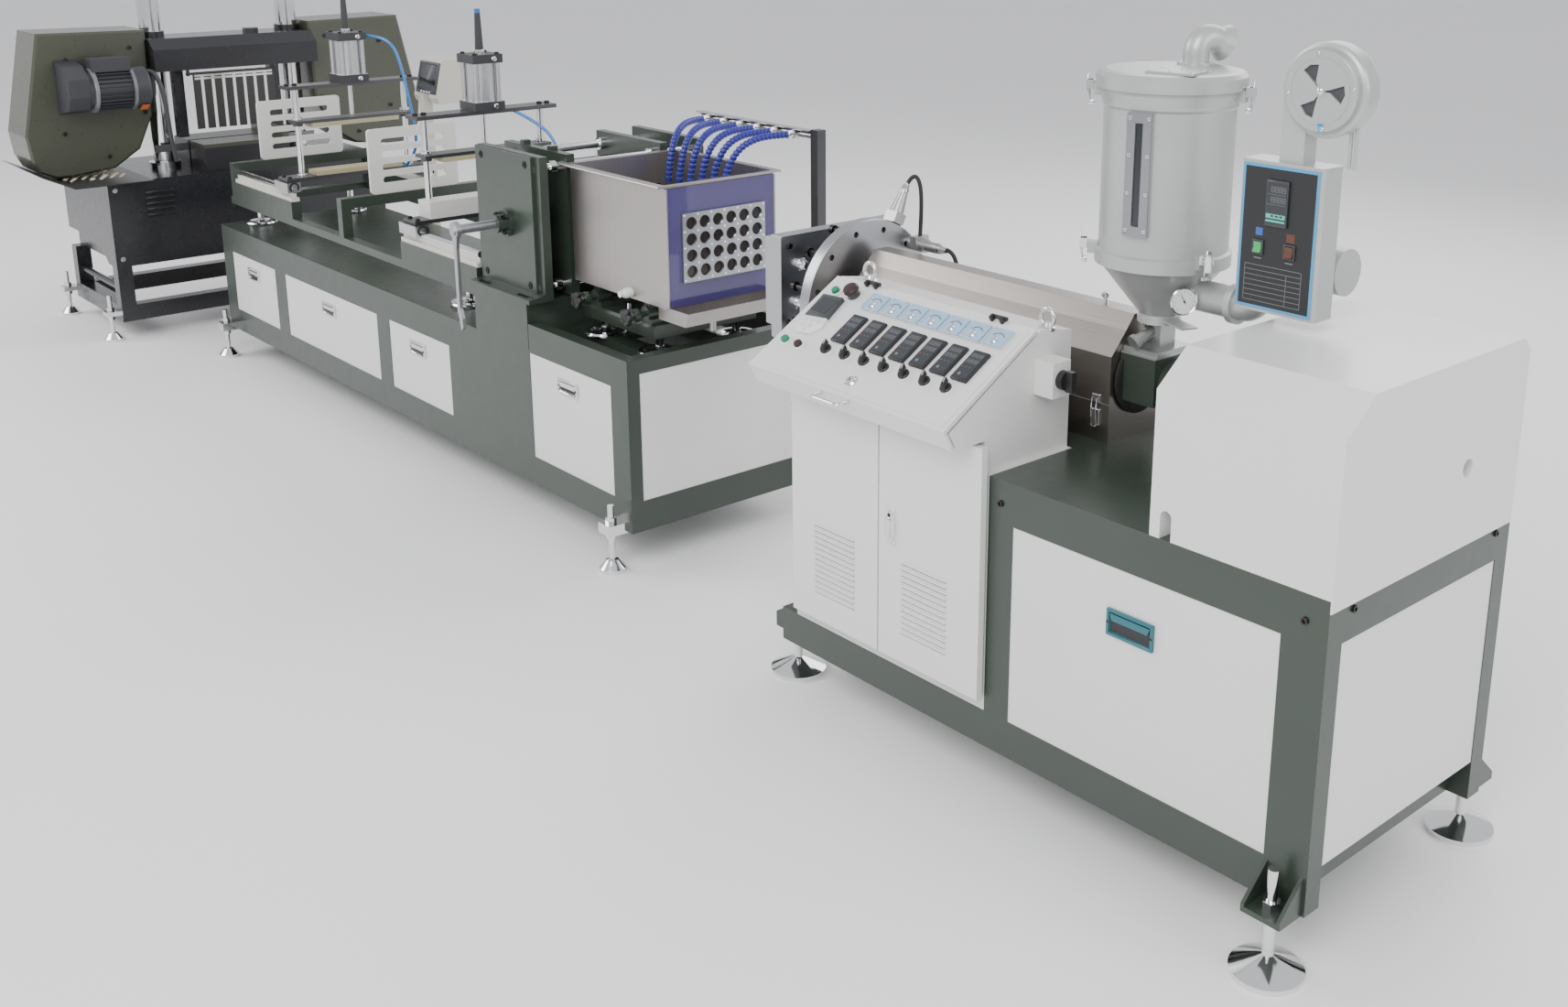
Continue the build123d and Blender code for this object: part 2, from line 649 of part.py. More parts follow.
with BuildPart() as die_bolts:
    for y, z in bolt_places:
        rod(DIE_BOLT_R, (DIE_DISC_X[0] - DIE_BOLT_OUT, y, z), "X", DIE_BOLT_OUT + disc_width - 8)
        rod(DIE_BOLT_R + 5, (DIE_DISC_X[0] - DIE_BOLT_OUT - 14, y, z), "X", 14)
        rod(DIE_BOLT_R - 3, (DIE_DISC_X[0] - DIE_BOLT_OUT - 14, y, z), "X", 8, Mode.SUBTRACT)

stick_y = [LINE_Y + (c - (STICK_COLUMNS - 1) / 2) * STICK_PITCH for c in range(STICK_COLUMNS)]
stick_z = [LINE_Z + (r - (STICK_ROWS - 1) / 2) * STICK_PITCH for r in range(STICK_ROWS)]


def stick_bores(radius, x, length):
    """One bore for each stick, cut along X."""
    for y in stick_y:
        for z in stick_z:
            rod(radius, (x, y, z), "X", length, Mode.SUBTRACT)


with BuildPart() as die_block:
    for x, half, height in zip((DIE_PLATE_X[:2], DIE_PLATE_X[1:]), DIE_PLATE_HALF, (DIE_PLATE_Z, DIE_BACK_Z)):
        block(x, (LINE_Y - half, LINE_Y + half), height)
    chamfer(die_block.edges().filter_by(Axis.X), 4)
    rod(BARREL_R + 30, (DIE_PLATE_X[2], LINE_Y, SCREW_Z), "X", DIE_DISC_X[0] - DIE_PLATE_X[2])
    rod(BARREL_R - 20, (DIE_DISC_X[0] - 40, LINE_Y, SCREW_Z), "X", 40)
    stick_bores(DIE_OUTLET_R, DIE_PLATE_X[0], 12)

# Plugs of the die heaters: one stands on the flange's rim, one lies along the cover's back
with BuildPart() as heater_plugs:
    with Locations(Location((sum(DIE_DISC_X) / 2, LINE_Y, SCREW_Z), (-HEATER_PLUG_TURN, 0, 0))):
        with Locations((0, 0, DIE_DISC_R)):
            Box(44, 38, 30, align=upright)
        with Locations((0, 0, DIE_DISC_R + 30)):
            Cone(21, 13, 58, align=upright)
    side_y, side_z = LINE_Y + 158, SCREW_Z + 138
    rod(20, (DIE_DISC_X[1], side_y, side_z), "X", 62)
    rod(15, (DIE_DISC_X[1] + 62, side_y, side_z), "X", 48)
    block((DIE_DISC_X[1] + 20, DIE_DISC_X[1] + 44), (side_y - 25, side_y + 25), (side_z - 8, side_z + 25))

# Feed throat: saddle block on the barrel with the square neck of the slide gate
with BuildPart() as feed_throat:
    block((HOPPER_X - 50, HOPPER_X + 50), (LINE_Y - 70, LINE_Y + 70), FEED_BLOCK_Z)
    rod(BARREL_R + GAP, (HOPPER_X - 50, LINE_Y, SCREW_Z), "X", 100, Mode.SUBTRACT)
    neck_z = (FEED_BLOCK_Z[1], HOPPER_NECK_Z - 20)
    block((HOPPER_X - 50, HOPPER_X + 50), (LINE_Y - 62, LINE_Y + 62), (neck_z[0] - 2, neck_z[0] + 12))
    block((HOPPER_X - NECK_HALF, HOPPER_X + NECK_HALF), (LINE_Y - NECK_HALF, LINE_Y + NECK_HALF), neck_z)
    slot_x = (HOPPER_X - NECK_HALF + 10, HOPPER_X + NECK_HALF - 10)
    slot_y = (LINE_Y - NECK_HALF, LINE_Y - NECK_HALF + 6)
    block(slot_x, slot_y, (neck_z[0] + 22, neck_z[1] - 8), Mode.SUBTRACT)
    with Locations(Location((HOPPER_X, LINE_Y, HOPPER_NECK_Z - 34), (0, 0, DRAIN_TURN))):
        with Locations(Location((0, 0, 0), (0, 115, 0))):
            Cylinder(14, 78, align=upright)
            with Locations((0, 0, 66)):
                Cylinder(19, 12, align=upright)

# Hopper: a turned shell with rolled beads, a bolted sight frame and clamp rims
body_bottom, body_top = HOPPER_BODY_Z, HOPPER_LID_Z[0]
with BuildPart() as hopper_body:
    with BuildSketch(Plane.XZ.offset(-LINE_Y)):
        with BuildLine():
            Polyline(
                (HOPPER_X, body_bottom),
                (HOPPER_X + HOPPER_R + 8, body_bottom),
                (HOPPER_X + HOPPER_R + 8, body_bottom + 16),
                (HOPPER_X + HOPPER_R, body_bottom + 20),
                (HOPPER_X + HOPPER_R, body_top - 44),
                (HOPPER_X + HOPPER_R + 4, body_top - 38),
                (HOPPER_X + HOPPER_R + 4, body_top - 30),
                (HOPPER_X + HOPPER_R + 10, body_top - 10),
                (HOPPER_X + HOPPER_R + 10, body_top),
                (HOPPER_X, body_top),
                close=True,
            )
        make_face()
    revolve(axis=Axis((HOPPER_X, LINE_Y, 0), (0, 0, 1)))
    with Locations(Location((HOPPER_X, LINE_Y, SIGHT_Z[0]), (0, 0, SIGHT_TURN))):
        Box(HOPPER_R + 14, 58, SIGHT_Z[1] - SIGHT_Z[0], align=(Align.MIN, Align.CENTER, Align.MIN))
        with Locations((HOPPER_R + 8, 0, (SIGHT_Z[1] - SIGHT_Z[0]) / 2)):
            Box(10, 18, SIGHT_Z[1] - SIGHT_Z[0] - 44, align=(Align.MIN, Align.CENTER, Align.CENTER), mode=Mode.SUBTRACT)
    for turn, low in CLAMP_PLACES:
        with Locations(Location((HOPPER_X, LINE_Y, low), (0, 0, turn))):
            with Locations((HOPPER_R, 0, 0)):
                Box(24, 30, 26, align=(Align.MIN, Align.CENTER, Align.MIN))
    inner_r = HOPPER_R - HOPPER_SHEET
    rod(inner_r, (HOPPER_X, LINE_Y, body_bottom), "Z", body_top - body_bottom, Mode.SUBTRACT)


def cone_solid(wall, mode):
    """The cone's inner or outer form, turned about the hopper's axis."""
    with BuildSketch(Plane.XZ.offset(-LINE_Y)) as profile:
        with BuildLine():
            Polyline(
                (HOPPER_X, HOPPER_NECK_Z - 20),
                (HOPPER_X + NECK_R - wall, HOPPER_NECK_Z - 20),
                (HOPPER_X + NECK_R - wall, HOPPER_NECK_Z),
                (HOPPER_X + HOPPER_R - wall - 2, HOPPER_BODY_Z - 14),
                (HOPPER_X + HOPPER_R - wall - 2, HOPPER_BODY_Z),
                (HOPPER_X, HOPPER_BODY_Z),
                close=True,
            )
        make_face()
    revolve(profile.sketch, axis=Axis((HOPPER_X, LINE_Y, 0), (0, 0, 1)), mode=mode)


with BuildPart() as hopper_cone:
    cone_solid(0, Mode.ADD)
    rod(HOPPER_R + 8, (HOPPER_X, LINE_Y, HOPPER_BODY_Z - 14), "Z", 14)
    rod(NECK_R + 3, (HOPPER_X, LINE_Y, HOPPER_NECK_Z - 20), "Z", 12)
    rod(INLET_R, (HOPPER_X, LINE_Y, INLET_Z), "X", INLET_REACH)
    rod(INLET_R + 10, (HOPPER_X + INLET_REACH - 8, LINE_Y, INLET_Z), "X", 8)
    with Locations(Location((HOPPER_X, LINE_Y, INLET_Z - 2), (0, 0, DIAL_TURN))):
        with Locations(Location((0, 0, 0), (0, 90, 0))):
            Cylinder(7, 128, align=upright)
    with Locations(Location((HOPPER_X, LINE_Y, HOPPER_NECK_Z - 8), (0, 0, GATE_TURN))):
        Box(128, 42, 4, align=(Align.MIN, Align.CENTER, Align.CENTER))
    cone_solid(HOPPER_SHEET, Mode.SUBTRACT)
    rod(INLET_R - HOPPER_SHEET, (HOPPER_X, LINE_Y, INLET_Z), "X", INLET_REACH, Mode.SUBTRACT)

# Lid: rolled rim, inspection flap, bolted collar and the bent air outlet
lid_low, lid_high = HOPPER_LID_Z
with BuildPart() as hopper_lid:
    with BuildSketch(Plane.XZ.offset(-LINE_Y)):
        with BuildLine():
            Polyline(
                (HOPPER_X, lid_low),
                (HOPPER_X + LID_RIM_R, lid_low),
                (HOPPER_X + LID_RIM_R, lid_high - 12),
                (HOPPER_X + LID_RIM_R - 8, lid_high - 3),
                (HOPPER_X + LID_RIM_R - 22, lid_high),
                (HOPPER_X, lid_high),
                close=True,
            )
        make_face()
    revolve(axis=Axis((HOPPER_X, LINE_Y, 0), (0, 0, 1)))
    elbow_x, elbow_y = HOPPER_X + ELBOW_PLACE[0], LINE_Y + ELBOW_PLACE[1]
    rod(ELBOW_R + 12, (elbow_x, elbow_y, lid_high), "Z", 6)
    elbow_end = (elbow_x + ELBOW_REACH[0], elbow_y + ELBOW_REACH[1], ELBOW_TOP - ELBOW_DROP)
    with BuildLine() as elbow_path:
        FilletPolyline(
            (elbow_x, elbow_y, lid_high),
            (elbow_x, elbow_y, ELBOW_TOP - ELBOW_R),
            elbow_end,
            radius=ELBOW_R + 4,
        )
    with BuildSketch(Plane.XY.offset(lid_high)):
        with Locations((elbow_x, elbow_y)):
            Circle(ELBOW_R)
    sweep(path=elbow_path.wires()[0])
    with Locations(Plane(origin=elbow_end, z_dir=(*ELBOW_REACH, ELBOW_R - ELBOW_DROP))):
        Cone(ELBOW_R, ELBOW_FLARE_R, 20, align=upright)
    with Locations(Location((HOPPER_X + FLAP_PLACE[0], LINE_Y + FLAP_PLACE[1], lid_high), (0, 0, FLAP_TURN))):
        Box(112, 84, 5, align=upright)

# Hot air side of the dryer: control box with the snail blower on top
with BuildPart() as dryer_box:
    block(DRYER_BOX_X, DRYER_BOX_Y, DRYER_BOX_Z)
    fillet(dryer_box.edges().filter_by(Axis.Z), 8)
    face_x = (DRYER_BOX_X[0] + 7, DRYER_BOX_X[1] - 7)
    block(face_x, (DRYER_BOX_Y[0] - 2, DRYER_BOX_Y[0]), (DRYER_BOX_Z[0] + 7, DRYER_BOX_Z[1] - 7))

blower_front = DRYER_BOX_Y[0] - 6
blower_back = blower_front + BLOWER_DEPTH
with BuildPart() as dryer_blower:
    with BuildSketch(Plane(origin=(BLOWER_X, blower_front, BLOWER_Z), x_dir=(1, 0, 0), z_dir=(0, 0, 1))):
        with BuildLine():
            Polyline(
                (0, 0),
                (BLOWER_R - 16, 0),
                (BLOWER_R - 14, 2),
                (BLOWER_R - 14, 14),
                (BLOWER_R - 8, 14),
                (BLOWER_R - 2, 17),
                (BLOWER_R, 23),
                (BLOWER_R, BLOWER_DEPTH - 9),
                (BLOWER_R - 2, BLOWER_DEPTH - 3),
                (BLOWER_R - 8, BLOWER_DEPTH),
                (0, BLOWER_DEPTH),
                close=True,
            )
        make_face()
    revolve(axis=Axis((BLOWER_X, 0, BLOWER_Z), (0, 1, 0)))
    rod(MOTOR_CAN_R, (BLOWER_X, blower_back - 2, BLOWER_Z), "Y", 62)
    duct_x = (BLOWER_X - BLOWER_R + 2, BLOWER_X - BLOWER_R + DUCT_WIDTH)
    block(duct_x, (blower_front + 18, blower_back - 4), (DRYER_BOX_Z[1], BLOWER_Z + 6))
    for x in (BLOWER_X + 50, BLOWER_X + 62):
        rod(4, (x, blower_back - 20, DRYER_BOX_Z[1]), "Z", BLOWER_Z - DRYER_BOX_Z[1] - 50)
    for index in range(3):
        turn = pi / 2 + index * 2 * pi / 3
        vane = [
            (BLOWER_X + u * cos(turn) - v * sin(turn), BLOWER_Z + u * sin(turn) + v * cos(turn))
            for u, v in INLET_VANE
        ]
        prism_y(vane, (blower_front, blower_front + 6), Mode.SUBTRACT)

heater_z = HOUSING_TOP + HEATER_R + 60
pipe_start = HOPPER_X + INLET_REACH
pipe_rise_x = DRYER_BOX_X[0] - 25
with BuildPart() as hot_air_pipe:
    rod(INLET_R + 10, (pipe_start, LINE_Y, INLET_Z), "X", 8)
    with BuildLine() as pipe_route:
        FilletPolyline(
            (pipe_start, LINE_Y, INLET_Z),
            (pipe_rise_x, LINE_Y, INLET_Z),
            (pipe_rise_x, LINE_Y, heater_z),
            (DRYER_BOX_X[0] + 30, LINE_Y, heater_z),
            radius=INLET_R + 4,
        )
    with BuildSketch(Plane(origin=(pipe_start, LINE_Y, INLET_Z), z_dir=(1, 0, 0))):
        Circle(INLET_R)
    sweep(path=pipe_route.wires()[0])
    rod(HEATER_R, (DRYER_BOX_X[0] + 30, LINE_Y, heater_z), "X", DRYER_BOX_X[1] - DRYER_BOX_X[0] - 40)
    block((DRYER_BOX_X[0] + 50, DRYER_BOX_X[1] - 30), (DRYER_BOX_Y[1], LINE_Y), (heater_z - 15, heater_z + 15))

# Bench: tube frame, deck sheet, raised block under the press and an open pit under the tank
bench_back = 2 * LINE_Y - BENCH_FRONT
bench_left, bench_right = BENCH_X
bench_sides = ((BENCH_FRONT, BENCH_FRONT + BENCH_TUBE), (bench_back - BENCH_TUBE, bench_back))
bench_rail_top = BENCH_PANEL_BOTTOM
with BuildPart() as bench_frame:
    for depth in bench_sides:
        block(BENCH_X, depth, (BENCH_BOTTOM, bench_rail_top))
        edges = [bench_left] + [x for panel in BENCH_PANELS for x in panel[:2]] + [bench_right]
        for low, high in zip(edges[0::2], edges[1::2]):
            block((low, high), depth, (bench_rail_top, BENCH_DECK))
        for low, high, top in BENCH_PANELS[:3]:
            block((low, high), depth, (top, BENCH_DECK))
        low, high, top = BENCH_PANELS[3]
        block((low, high), depth, (top, RIM_TOP))
        block((high, bench_right), depth, (BENCH_DECK, RIM_TOP))
    for x in (bench_left, bench_right - BENCH_TUBE):
        block((x, x + BENCH_TUBE), (BENCH_FRONT, bench_back), (BENCH_BOTTOM, bench_rail_top))
    block((bench_left, bench_left + BENCH_TUBE), (BENCH_FRONT, bench_back), (BENCH_PANELS[0][2], BENCH_DECK))
    block((bench_right - BENCH_TUBE, bench_right), (BENCH_FRONT, bench_back), (632, RIM_TOP))
    block((bench_left, BLOCK_X[0]), (BENCH_FRONT, bench_back), (BENCH_DECK - DECK_SHEET, BENCH_DECK))
    block(BLOCK_X, (BENCH_FRONT, bench_back), (BENCH_DECK - 40, BLOCK_TOP))
    for y in (LINE_Y - DISC_HALF, LINE_Y + DISC_HALF):
        block((BLOCK_X[1], bench_right - BENCH_TUBE), (y - PIT_RAIL / 2, y + PIT_RAIL / 2), PIT_RAIL_Z)

with BuildPart() as bench_panels:
    for low, high, top in BENCH_PANELS:
        for y in (BENCH_FRONT + PANEL_INSET, bench_back - PANEL_INSET - PANEL_SHEET):
            block((low, high), (y, y + PANEL_SHEET), (bench_rail_top, top))
    inner_y = (bench_sides[0][1], bench_sides[1][0])
    end_x = bench_right - PANEL_INSET
    block((end_x - PANEL_SHEET, end_x), inner_y, (bench_rail_top, 632))
    end_x = bench_left + PANEL_INSET
    block((end_x, end_x + PANEL_SHEET), inner_y, (bench_rail_top, BENCH_PANELS[0][2]))

bench_feet_places = [(x, y) for x in (-5630, -2520) for y in (BENCH_FRONT - 42, bench_back + 42)]
with BuildPart() as bench_feet:
    for x, y in bench_feet_places:
        foot(x, y, BENCH_PAD_R, BENCH_STUD_R, 215, (BENCH_BOTTOM, BENCH_BOTTOM + 34))
        near = y < LINE_Y
        lug_y = (y - 26, BENCH_FRONT) if near else (bench_back, y + 26)
        block((x - 32, x + 32), lug_y, (BENCH_BOTTOM, BENCH_BOTTOM + 34))

# Cooling tank: open stainless box with a rim, a clear window and the stick hole plate
tank_y = (LINE_Y - TANK_HALF, LINE_Y + TANK_HALF)
window_y = (tank_y[0] + WINDOW_BORDER, tank_y[1] - WINDOW_BORDER)
window_z = (TANK_Z[0] + WINDOW_BORDER, TANK_Z[1] - WINDOW_BORDER)
plate_y = (stick_y[0] - STICK_PITCH / 2 - PLATE_BORDER / 2, stick_y[-1] + STICK_PITCH / 2 + PLATE_BORDER / 2)
plate_z = (stick_z[0] - STICK_PITCH / 2 - PLATE_BORDER / 2, stick_z[-1] + STICK_PITCH / 2 + PLATE_BORDER / 2)
with BuildPart() as tank_shell:
    block(TANK_X, tank_y, TANK_Z)
    rim_x = (TANK_X[0] - TANK_RIM, TANK_X[1] + WINDOW_SHEET + 2)
    block(rim_x, (tank_y[0] - TANK_RIM, tank_y[1] + TANK_RIM), (TANK_Z[1], TANK_Z[1] + 6))
    inner_x = (TANK_X[0] + TANK_SHEET, TANK_X[1] - TANK_SHEET)
    inner_y = (tank_y[0] + TANK_SHEET, tank_y[1] - TANK_SHEET)
    block(inner_x, inner_y, (TANK_Z[0] + TANK_SHEET, TANK_Z[1] + 6), Mode.SUBTRACT)
    block((TANK_X[1] - TANK_SHEET, TANK_X[1]), window_y, window_z, Mode.SUBTRACT)
    for y in stick_y:
        for z in stick_z:
            rod(STICK_HOLE_R, (TANK_X[0], y, z), "X", TANK_SHEET, Mode.SUBTRACT)
    tray_x = (TANK_X[1] - 60, TANK_X[1] + TRAY_OUT)
    tray_z = (TANK_Z[0] - TRAY_HEIGHT, TANK_Z[0] + 2)
    tray_y = (tank_y[0] + 10, tank_y[1] - 10)
    slant = [(tray_x[0], tray_z[0]), (tray_x[1] - 16, tray_z[0]), (tray_x[1], tray_z[1]), (tray_x[0], tray_z[1])]
    prism_y(slant, tray_y)
    well = [(TANK_X[1] + 6, tray_z[0] + 3), (tray_x[1] - 18, tray_z[0] + 3), (tray_x[1] - 3, tray_z[1])]
    prism_y(well + [(TANK_X[1] + 6, tray_z[1])], (tray_y[0] + 3, tray_y[1] - 3), Mode.SUBTRACT)
    rod(11, (TANK_X[1] + 30, LINE_Y - 60, tray_z[0] - 42), "Z", 44)

with BuildPart() as tank_window:
    block((TANK_X[1], TANK_X[1] + WINDOW_SHEET), (tank_y[0] + 4, tank_y[1] - 4), (TANK_Z[0] + 4, TANK_Z[1] - 4))
    block((TANK_X[1], TANK_X[1] + WINDOW_SHEET), (plate_y[0] + 12, plate_y[1] - 12), (plate_z[0] + 12, plate_z[1] - 12), Mode.SUBTRACT)

with BuildPart() as tank_hole_plate:
    plate_x = (TANK_X[1] + WINDOW_SHEET, TANK_X[1] + WINDOW_SHEET + PLATE_SHEET)
    block(plate_x, plate_y, plate_z)
    for y in stick_y:
        for z in stick_z:
            rod(STICK_HOLE_R, (plate_x[0], y, z), "X", PLATE_SHEET, Mode.SUBTRACT)

# Green slide under the tank with its bearing blocks and shafts, and the tray that catches drips
slide_z = (SLIDE_TOP - SLIDE_SHEET, SLIDE_TOP)
with BuildPart() as tank_slide:
    slide_y = (LINE_Y - 200, LINE_Y + 200)
    block(SLIDE_X, slide_y, slide_z)
    chamfer(tank_slide.edges().filter_by(Axis.X).group_by(Axis.Z)[-1], 8)
    shaft_z = SLIDE_TOP + 30
    for x in (SLIDE_X[0] + 22, SLIDE_X[1] - 92):
        for y in (slide_y[0] + 8, slide_y[1] - 58):
            block((x, x + 70), (y, y + 50), (SLIDE_TOP, SLIDE_TOP + 16))
            rod(24, (x + 35, y, shaft_z), "Y", 50)
            block((x + 20, x + 50), (y + 8, y + 42), (shaft_z, TANK_Z[0]))
        rod(9, (x + 35, slide_y[0] - 22, shaft_z), "Y", slide_y[1] - slide_y[0] + 22)
        rod(22, (x + 35, slide_y[0] - 38, shaft_z), "Y", 18)

# Chromed levelling discs under the tank's slide and under the puller frame
disc_places = [(x, y) for x in (SLIDE_X[0] + 45, SLIDE_X[1] - 42) for y in (LINE_Y - DISC_HALF, LINE_Y + DISC_HALF)]
puller_disc_places = [(x, y) for x in PULLER_DISC_X for y in (LINE_Y - PULLER_DISC_HALF, LINE_Y + PULLER_DISC_HALF)]


def disc(x, y, bottom, top):
    """A turned levelling disc with a hollowed rim, and the stud that it turns on."""
    with BuildSketch(Plane.XZ.offset(-y)) as profile:
        with BuildLine():
            Polyline(
                (x, bottom),
                (x + DISC_R, bottom),
                (x + DISC_R + 4, bottom + 6),
                (x + DISC_R, bottom + 12),
                (x + DISC_R - 14, bottom + 12),
                (x + DISC_R - 22, bottom + 6),
                (x + 26, bottom + 8),
                (x + 14, bottom + 16),
                (x + 14, top),
                (x, top),
                close=True,
            )
        make_face()
    revolve(profile.sketch, axis=Axis((x, y, 0), (0, 0, 1)))


with BuildPart() as deck_feet:
    for x, y in disc_places:
        disc(x, y, PIT_RAIL_Z[1], slide_z[0])
    for x, y in puller_disc_places:
        disc(x, y, BENCH_DECK, BEAM_Z[0])

# Coolant manifold: a square post on the bench's back, a bar with tap bodies, and jointed hoses
tap_x = [MANIFOLD_X[0] + HOSE_START + index * HOSE_PITCH for index in range(HOSE_COUNT)]
bar_z = MANIFOLD_TOP - 22
with BuildPart() as manifold:
    post_x = (MANIFOLD_X[1], MANIFOLD_X[1] + MANIFOLD_POST)
    block(post_x, (MANIFOLD_Y, MANIFOLD_Y + MANIFOLD_POST), (BENCH_DECK - 200, MANIFOLD_TOP))
    for z in (BENCH_DECK - 180, BENCH_DECK - 60):
        block(post_x, (2 * LINE_Y - BENCH_FRONT, MANIFOLD_Y), (z, z + 40))
    rod(11, (MANIFOLD_X[0], MANIFOLD_Y + 14, bar_z), "X", MANIFOLD_X[1] - MANIFOLD_X[0])
    angle = [(MANIFOLD_Y + 18, bar_z + 8), (MANIFOLD_Y + 22, bar_z + 8), (MANIFOLD_Y + 22, bar_z + 18)]
    angle += [(MANIFOLD_Y - 6, bar_z + 18), (MANIFOLD_Y - 6, bar_z + 14), (MANIFOLD_Y + 18, bar_z + 14)]
    prism_x(angle, (MANIFOLD_X[0] - 10, MANIFOLD_X[1]))
    for x in tap_x:
        rod(15, (x, MANIFOLD_Y - 12, bar_z), "Y", 28)
        rod(12, (x, MANIFOLD_Y - 22, bar_z), "Y", 10)

with BuildPart() as coolant_hoses:
    for index, x in enumerate(tap_x):
        end_x = HOSE_END_X[0] + index * (HOSE_END_X[1] - HOSE_END_X[0]) / (HOSE_COUNT - 1)
        out = MANIFOLD_Y - 22
        with BuildLine() as route:
            Bezier(
                (x, out, bar_z),
                (x, out - 90, bar_z),
                (end_x, out - HOSE_REACH + 20, bar_z + 30),
                (end_x, out - HOSE_REACH, bar_z - HOSE_DROP),
            )
        with BuildSketch(Plane(origin=(x, out, bar_z), z_dir=(0, -1, 0))):
            Circle(HOSE_R)
        sweep(path=route.wires()[0])

# Press: plates on four tie rods, a platen driven by the screw, and the bored sizing block
press_x = PRESS_PLATE_X
tie_places = [
    (x, z)
    for x in (press_x[0] + TIE_ROD_INSET, press_x[1] - TIE_ROD_INSET)
    for z in (BLOCK_TOP + TIE_ROD_INSET, PRESS_TOP - TIE_ROD_INSET)
]
screw_x = sum(press_x) / 2
screw_z = (BLOCK_TOP + PRESS_TOP) / 2


def press_plate(y, bottom, hole_r):
    block(press_x, (y, y + PRESS_PLATE), (bottom, PRESS_TOP))
    for x, z in tie_places:
        rod(hole_r, (x, y, z), "Y", PRESS_PLATE, Mode.SUBTRACT)


with BuildPart() as press_plates:
    for y in (PRESS_FRONT_Y, PRESS_FIXED_Y, PRESS_BACK_Y - PRESS_PLATE):
        press_plate(y, BLOCK_TOP, TIE_ROD_R + GAP)
    face_x = (press_x[0], press_x[1] - FACE_STEP)
    block(face_x, (PRESS_FRONT_Y - FACE_SHEET, PRESS_FRONT_Y), (BLOCK_TOP, PRESS_TOP - 2))
    foot_outline = [
        (PRESS_FRONT_Y - 62, BLOCK_TOP),
        (PRESS_FRONT_Y, BLOCK_TOP),
        (PRESS_FRONT_Y, BLOCK_TOP + 26),
        (PRESS_FRONT_Y - FACE_SHEET - 6, BLOCK_TOP + 18),
        (PRESS_FRONT_Y - 62, BLOCK_TOP + 14),
    ]
    prism_x(foot_outline, press_x)
    for x in (press_x[0] + 70, press_x[1] - 70):
        with Locations((x, PRESS_FRONT_Y - 42, BLOCK_TOP)):
            Box(70, 16, 30, align=upright, mode=Mode.SUBTRACT)
    nut_y = PRESS_FRONT_Y - FACE_SHEET - NUT_FLANGE
    rod(46, (screw_x, nut_y, screw_z), "Y", NUT_FLANGE)
    rod(30, (screw_x, nut_y - 34, screw_z), "Y", 34)
    for turn in range(4):
        angle = pi / 4 + turn * pi / 2
        rod(8, (screw_x + 37 * cos(angle), nut_y - 12, screw_z + 37 * sin(angle)), "Y", 12)
    rod(SCREW_R + 1, (screw_x, nut_y - 34, screw_z), "Y", PRESS_FRONT_Y + PRESS_PLATE - nut_y + 34, Mode.SUBTRACT)

with BuildPart() as tie_rods:
    for x, z in tie_places:
        rod(TIE_ROD_R, (x, PRESS_FRONT_Y, z), "Y", PRESS_BACK_Y - PRESS_FRONT_Y + 26)
        with BuildSketch(Plane.XZ.offset(-PRESS_BACK_Y)) as nut:
            with Locations((x, z)):
                RegularPolygon(24, 6)
        extrude(nut.sketch, amount=18, dir=(0, 1, 0))
        for y in (PRESS_MOVING_Y - PLATEN_TRAVEL - 30, PRESS_FIXED_Y - 22):
            rod(TIE_ROD_R + 7, (x, y, z), "Y", 22)

with BuildPart() as press_platen:
    press_plate(PRESS_MOVING_Y, BLOCK_TOP + CLEAR, TIE_ROD_R + GAP)
    rod(BOSS_R, (screw_x, PRESS_MOVING_Y - BOSS_LENGTH, screw_z), "Y", BOSS_LENGTH)
    rod(SCREW_R + GAP, (screw_x, PRESS_MOVING_Y - BOSS_LENGTH, screw_z), "Y", BOSS_LENGTH + 15, Mode.SUBTRACT)
    for x in (press_x[0] + 110, press_x[1] - 110):
        block((x - 12, x + 12), (PRESS_MOVING_Y + 4, PRESS_MOVING_Y + PRESS_PLATE), (PRESS_TOP, PRESS_TOP + 14))

# The screw is held in the platen's boss; a ring spanner hangs from the hexagon on its outer end
screw_start = PRESS_FRONT_Y - SCREW_OUT
with BuildPart() as press_screw:
    rod(SCREW_R - 1, (screw_x, screw_start, screw_z), "Y", PRESS_MOVING_Y + 5 - screw_start)
    for index in range(THREAD_COUNT):
        rod(SCREW_R, (screw_x, screw_start + 34 + index * THREAD_PITCH, screw_z), "Y", THREAD_PITCH / 2)
    with BuildSketch(Plane.XZ.offset(-screw_start)) as hexagon:
        with Locations((screw_x, screw_z)):
            RegularPolygon(18, 6)
    extrude(hexagon.sketch, amount=24, dir=(0, 1, 0))
    rod(27, (screw_x, screw_start + 4, screw_z), "Y", 16)
    with BuildSketch(Plane.XZ.offset(-screw_start - 6)) as handle:
        with BuildLine():
            Polyline(
                (screw_x - 16, screw_z - 18),
                (screw_x + 16, screw_z - 18),
                (screw_x + 10, screw_z - 60),
                (screw_x + 9, screw_z - 260),
                (screw_x + 20, screw_z - 292),
                (screw_x + 22, screw_z - 322),
                (screw_x + 8, screw_z - 334),
                (screw_x + 2, screw_z - 300),
                (screw_x - 8, screw_z - 270),
                (screw_x - 10, screw_z - 60),
                close=True,
            )
        make_face()
    extrude(handle.sketch, amount=11, dir=(0, 1, 0))

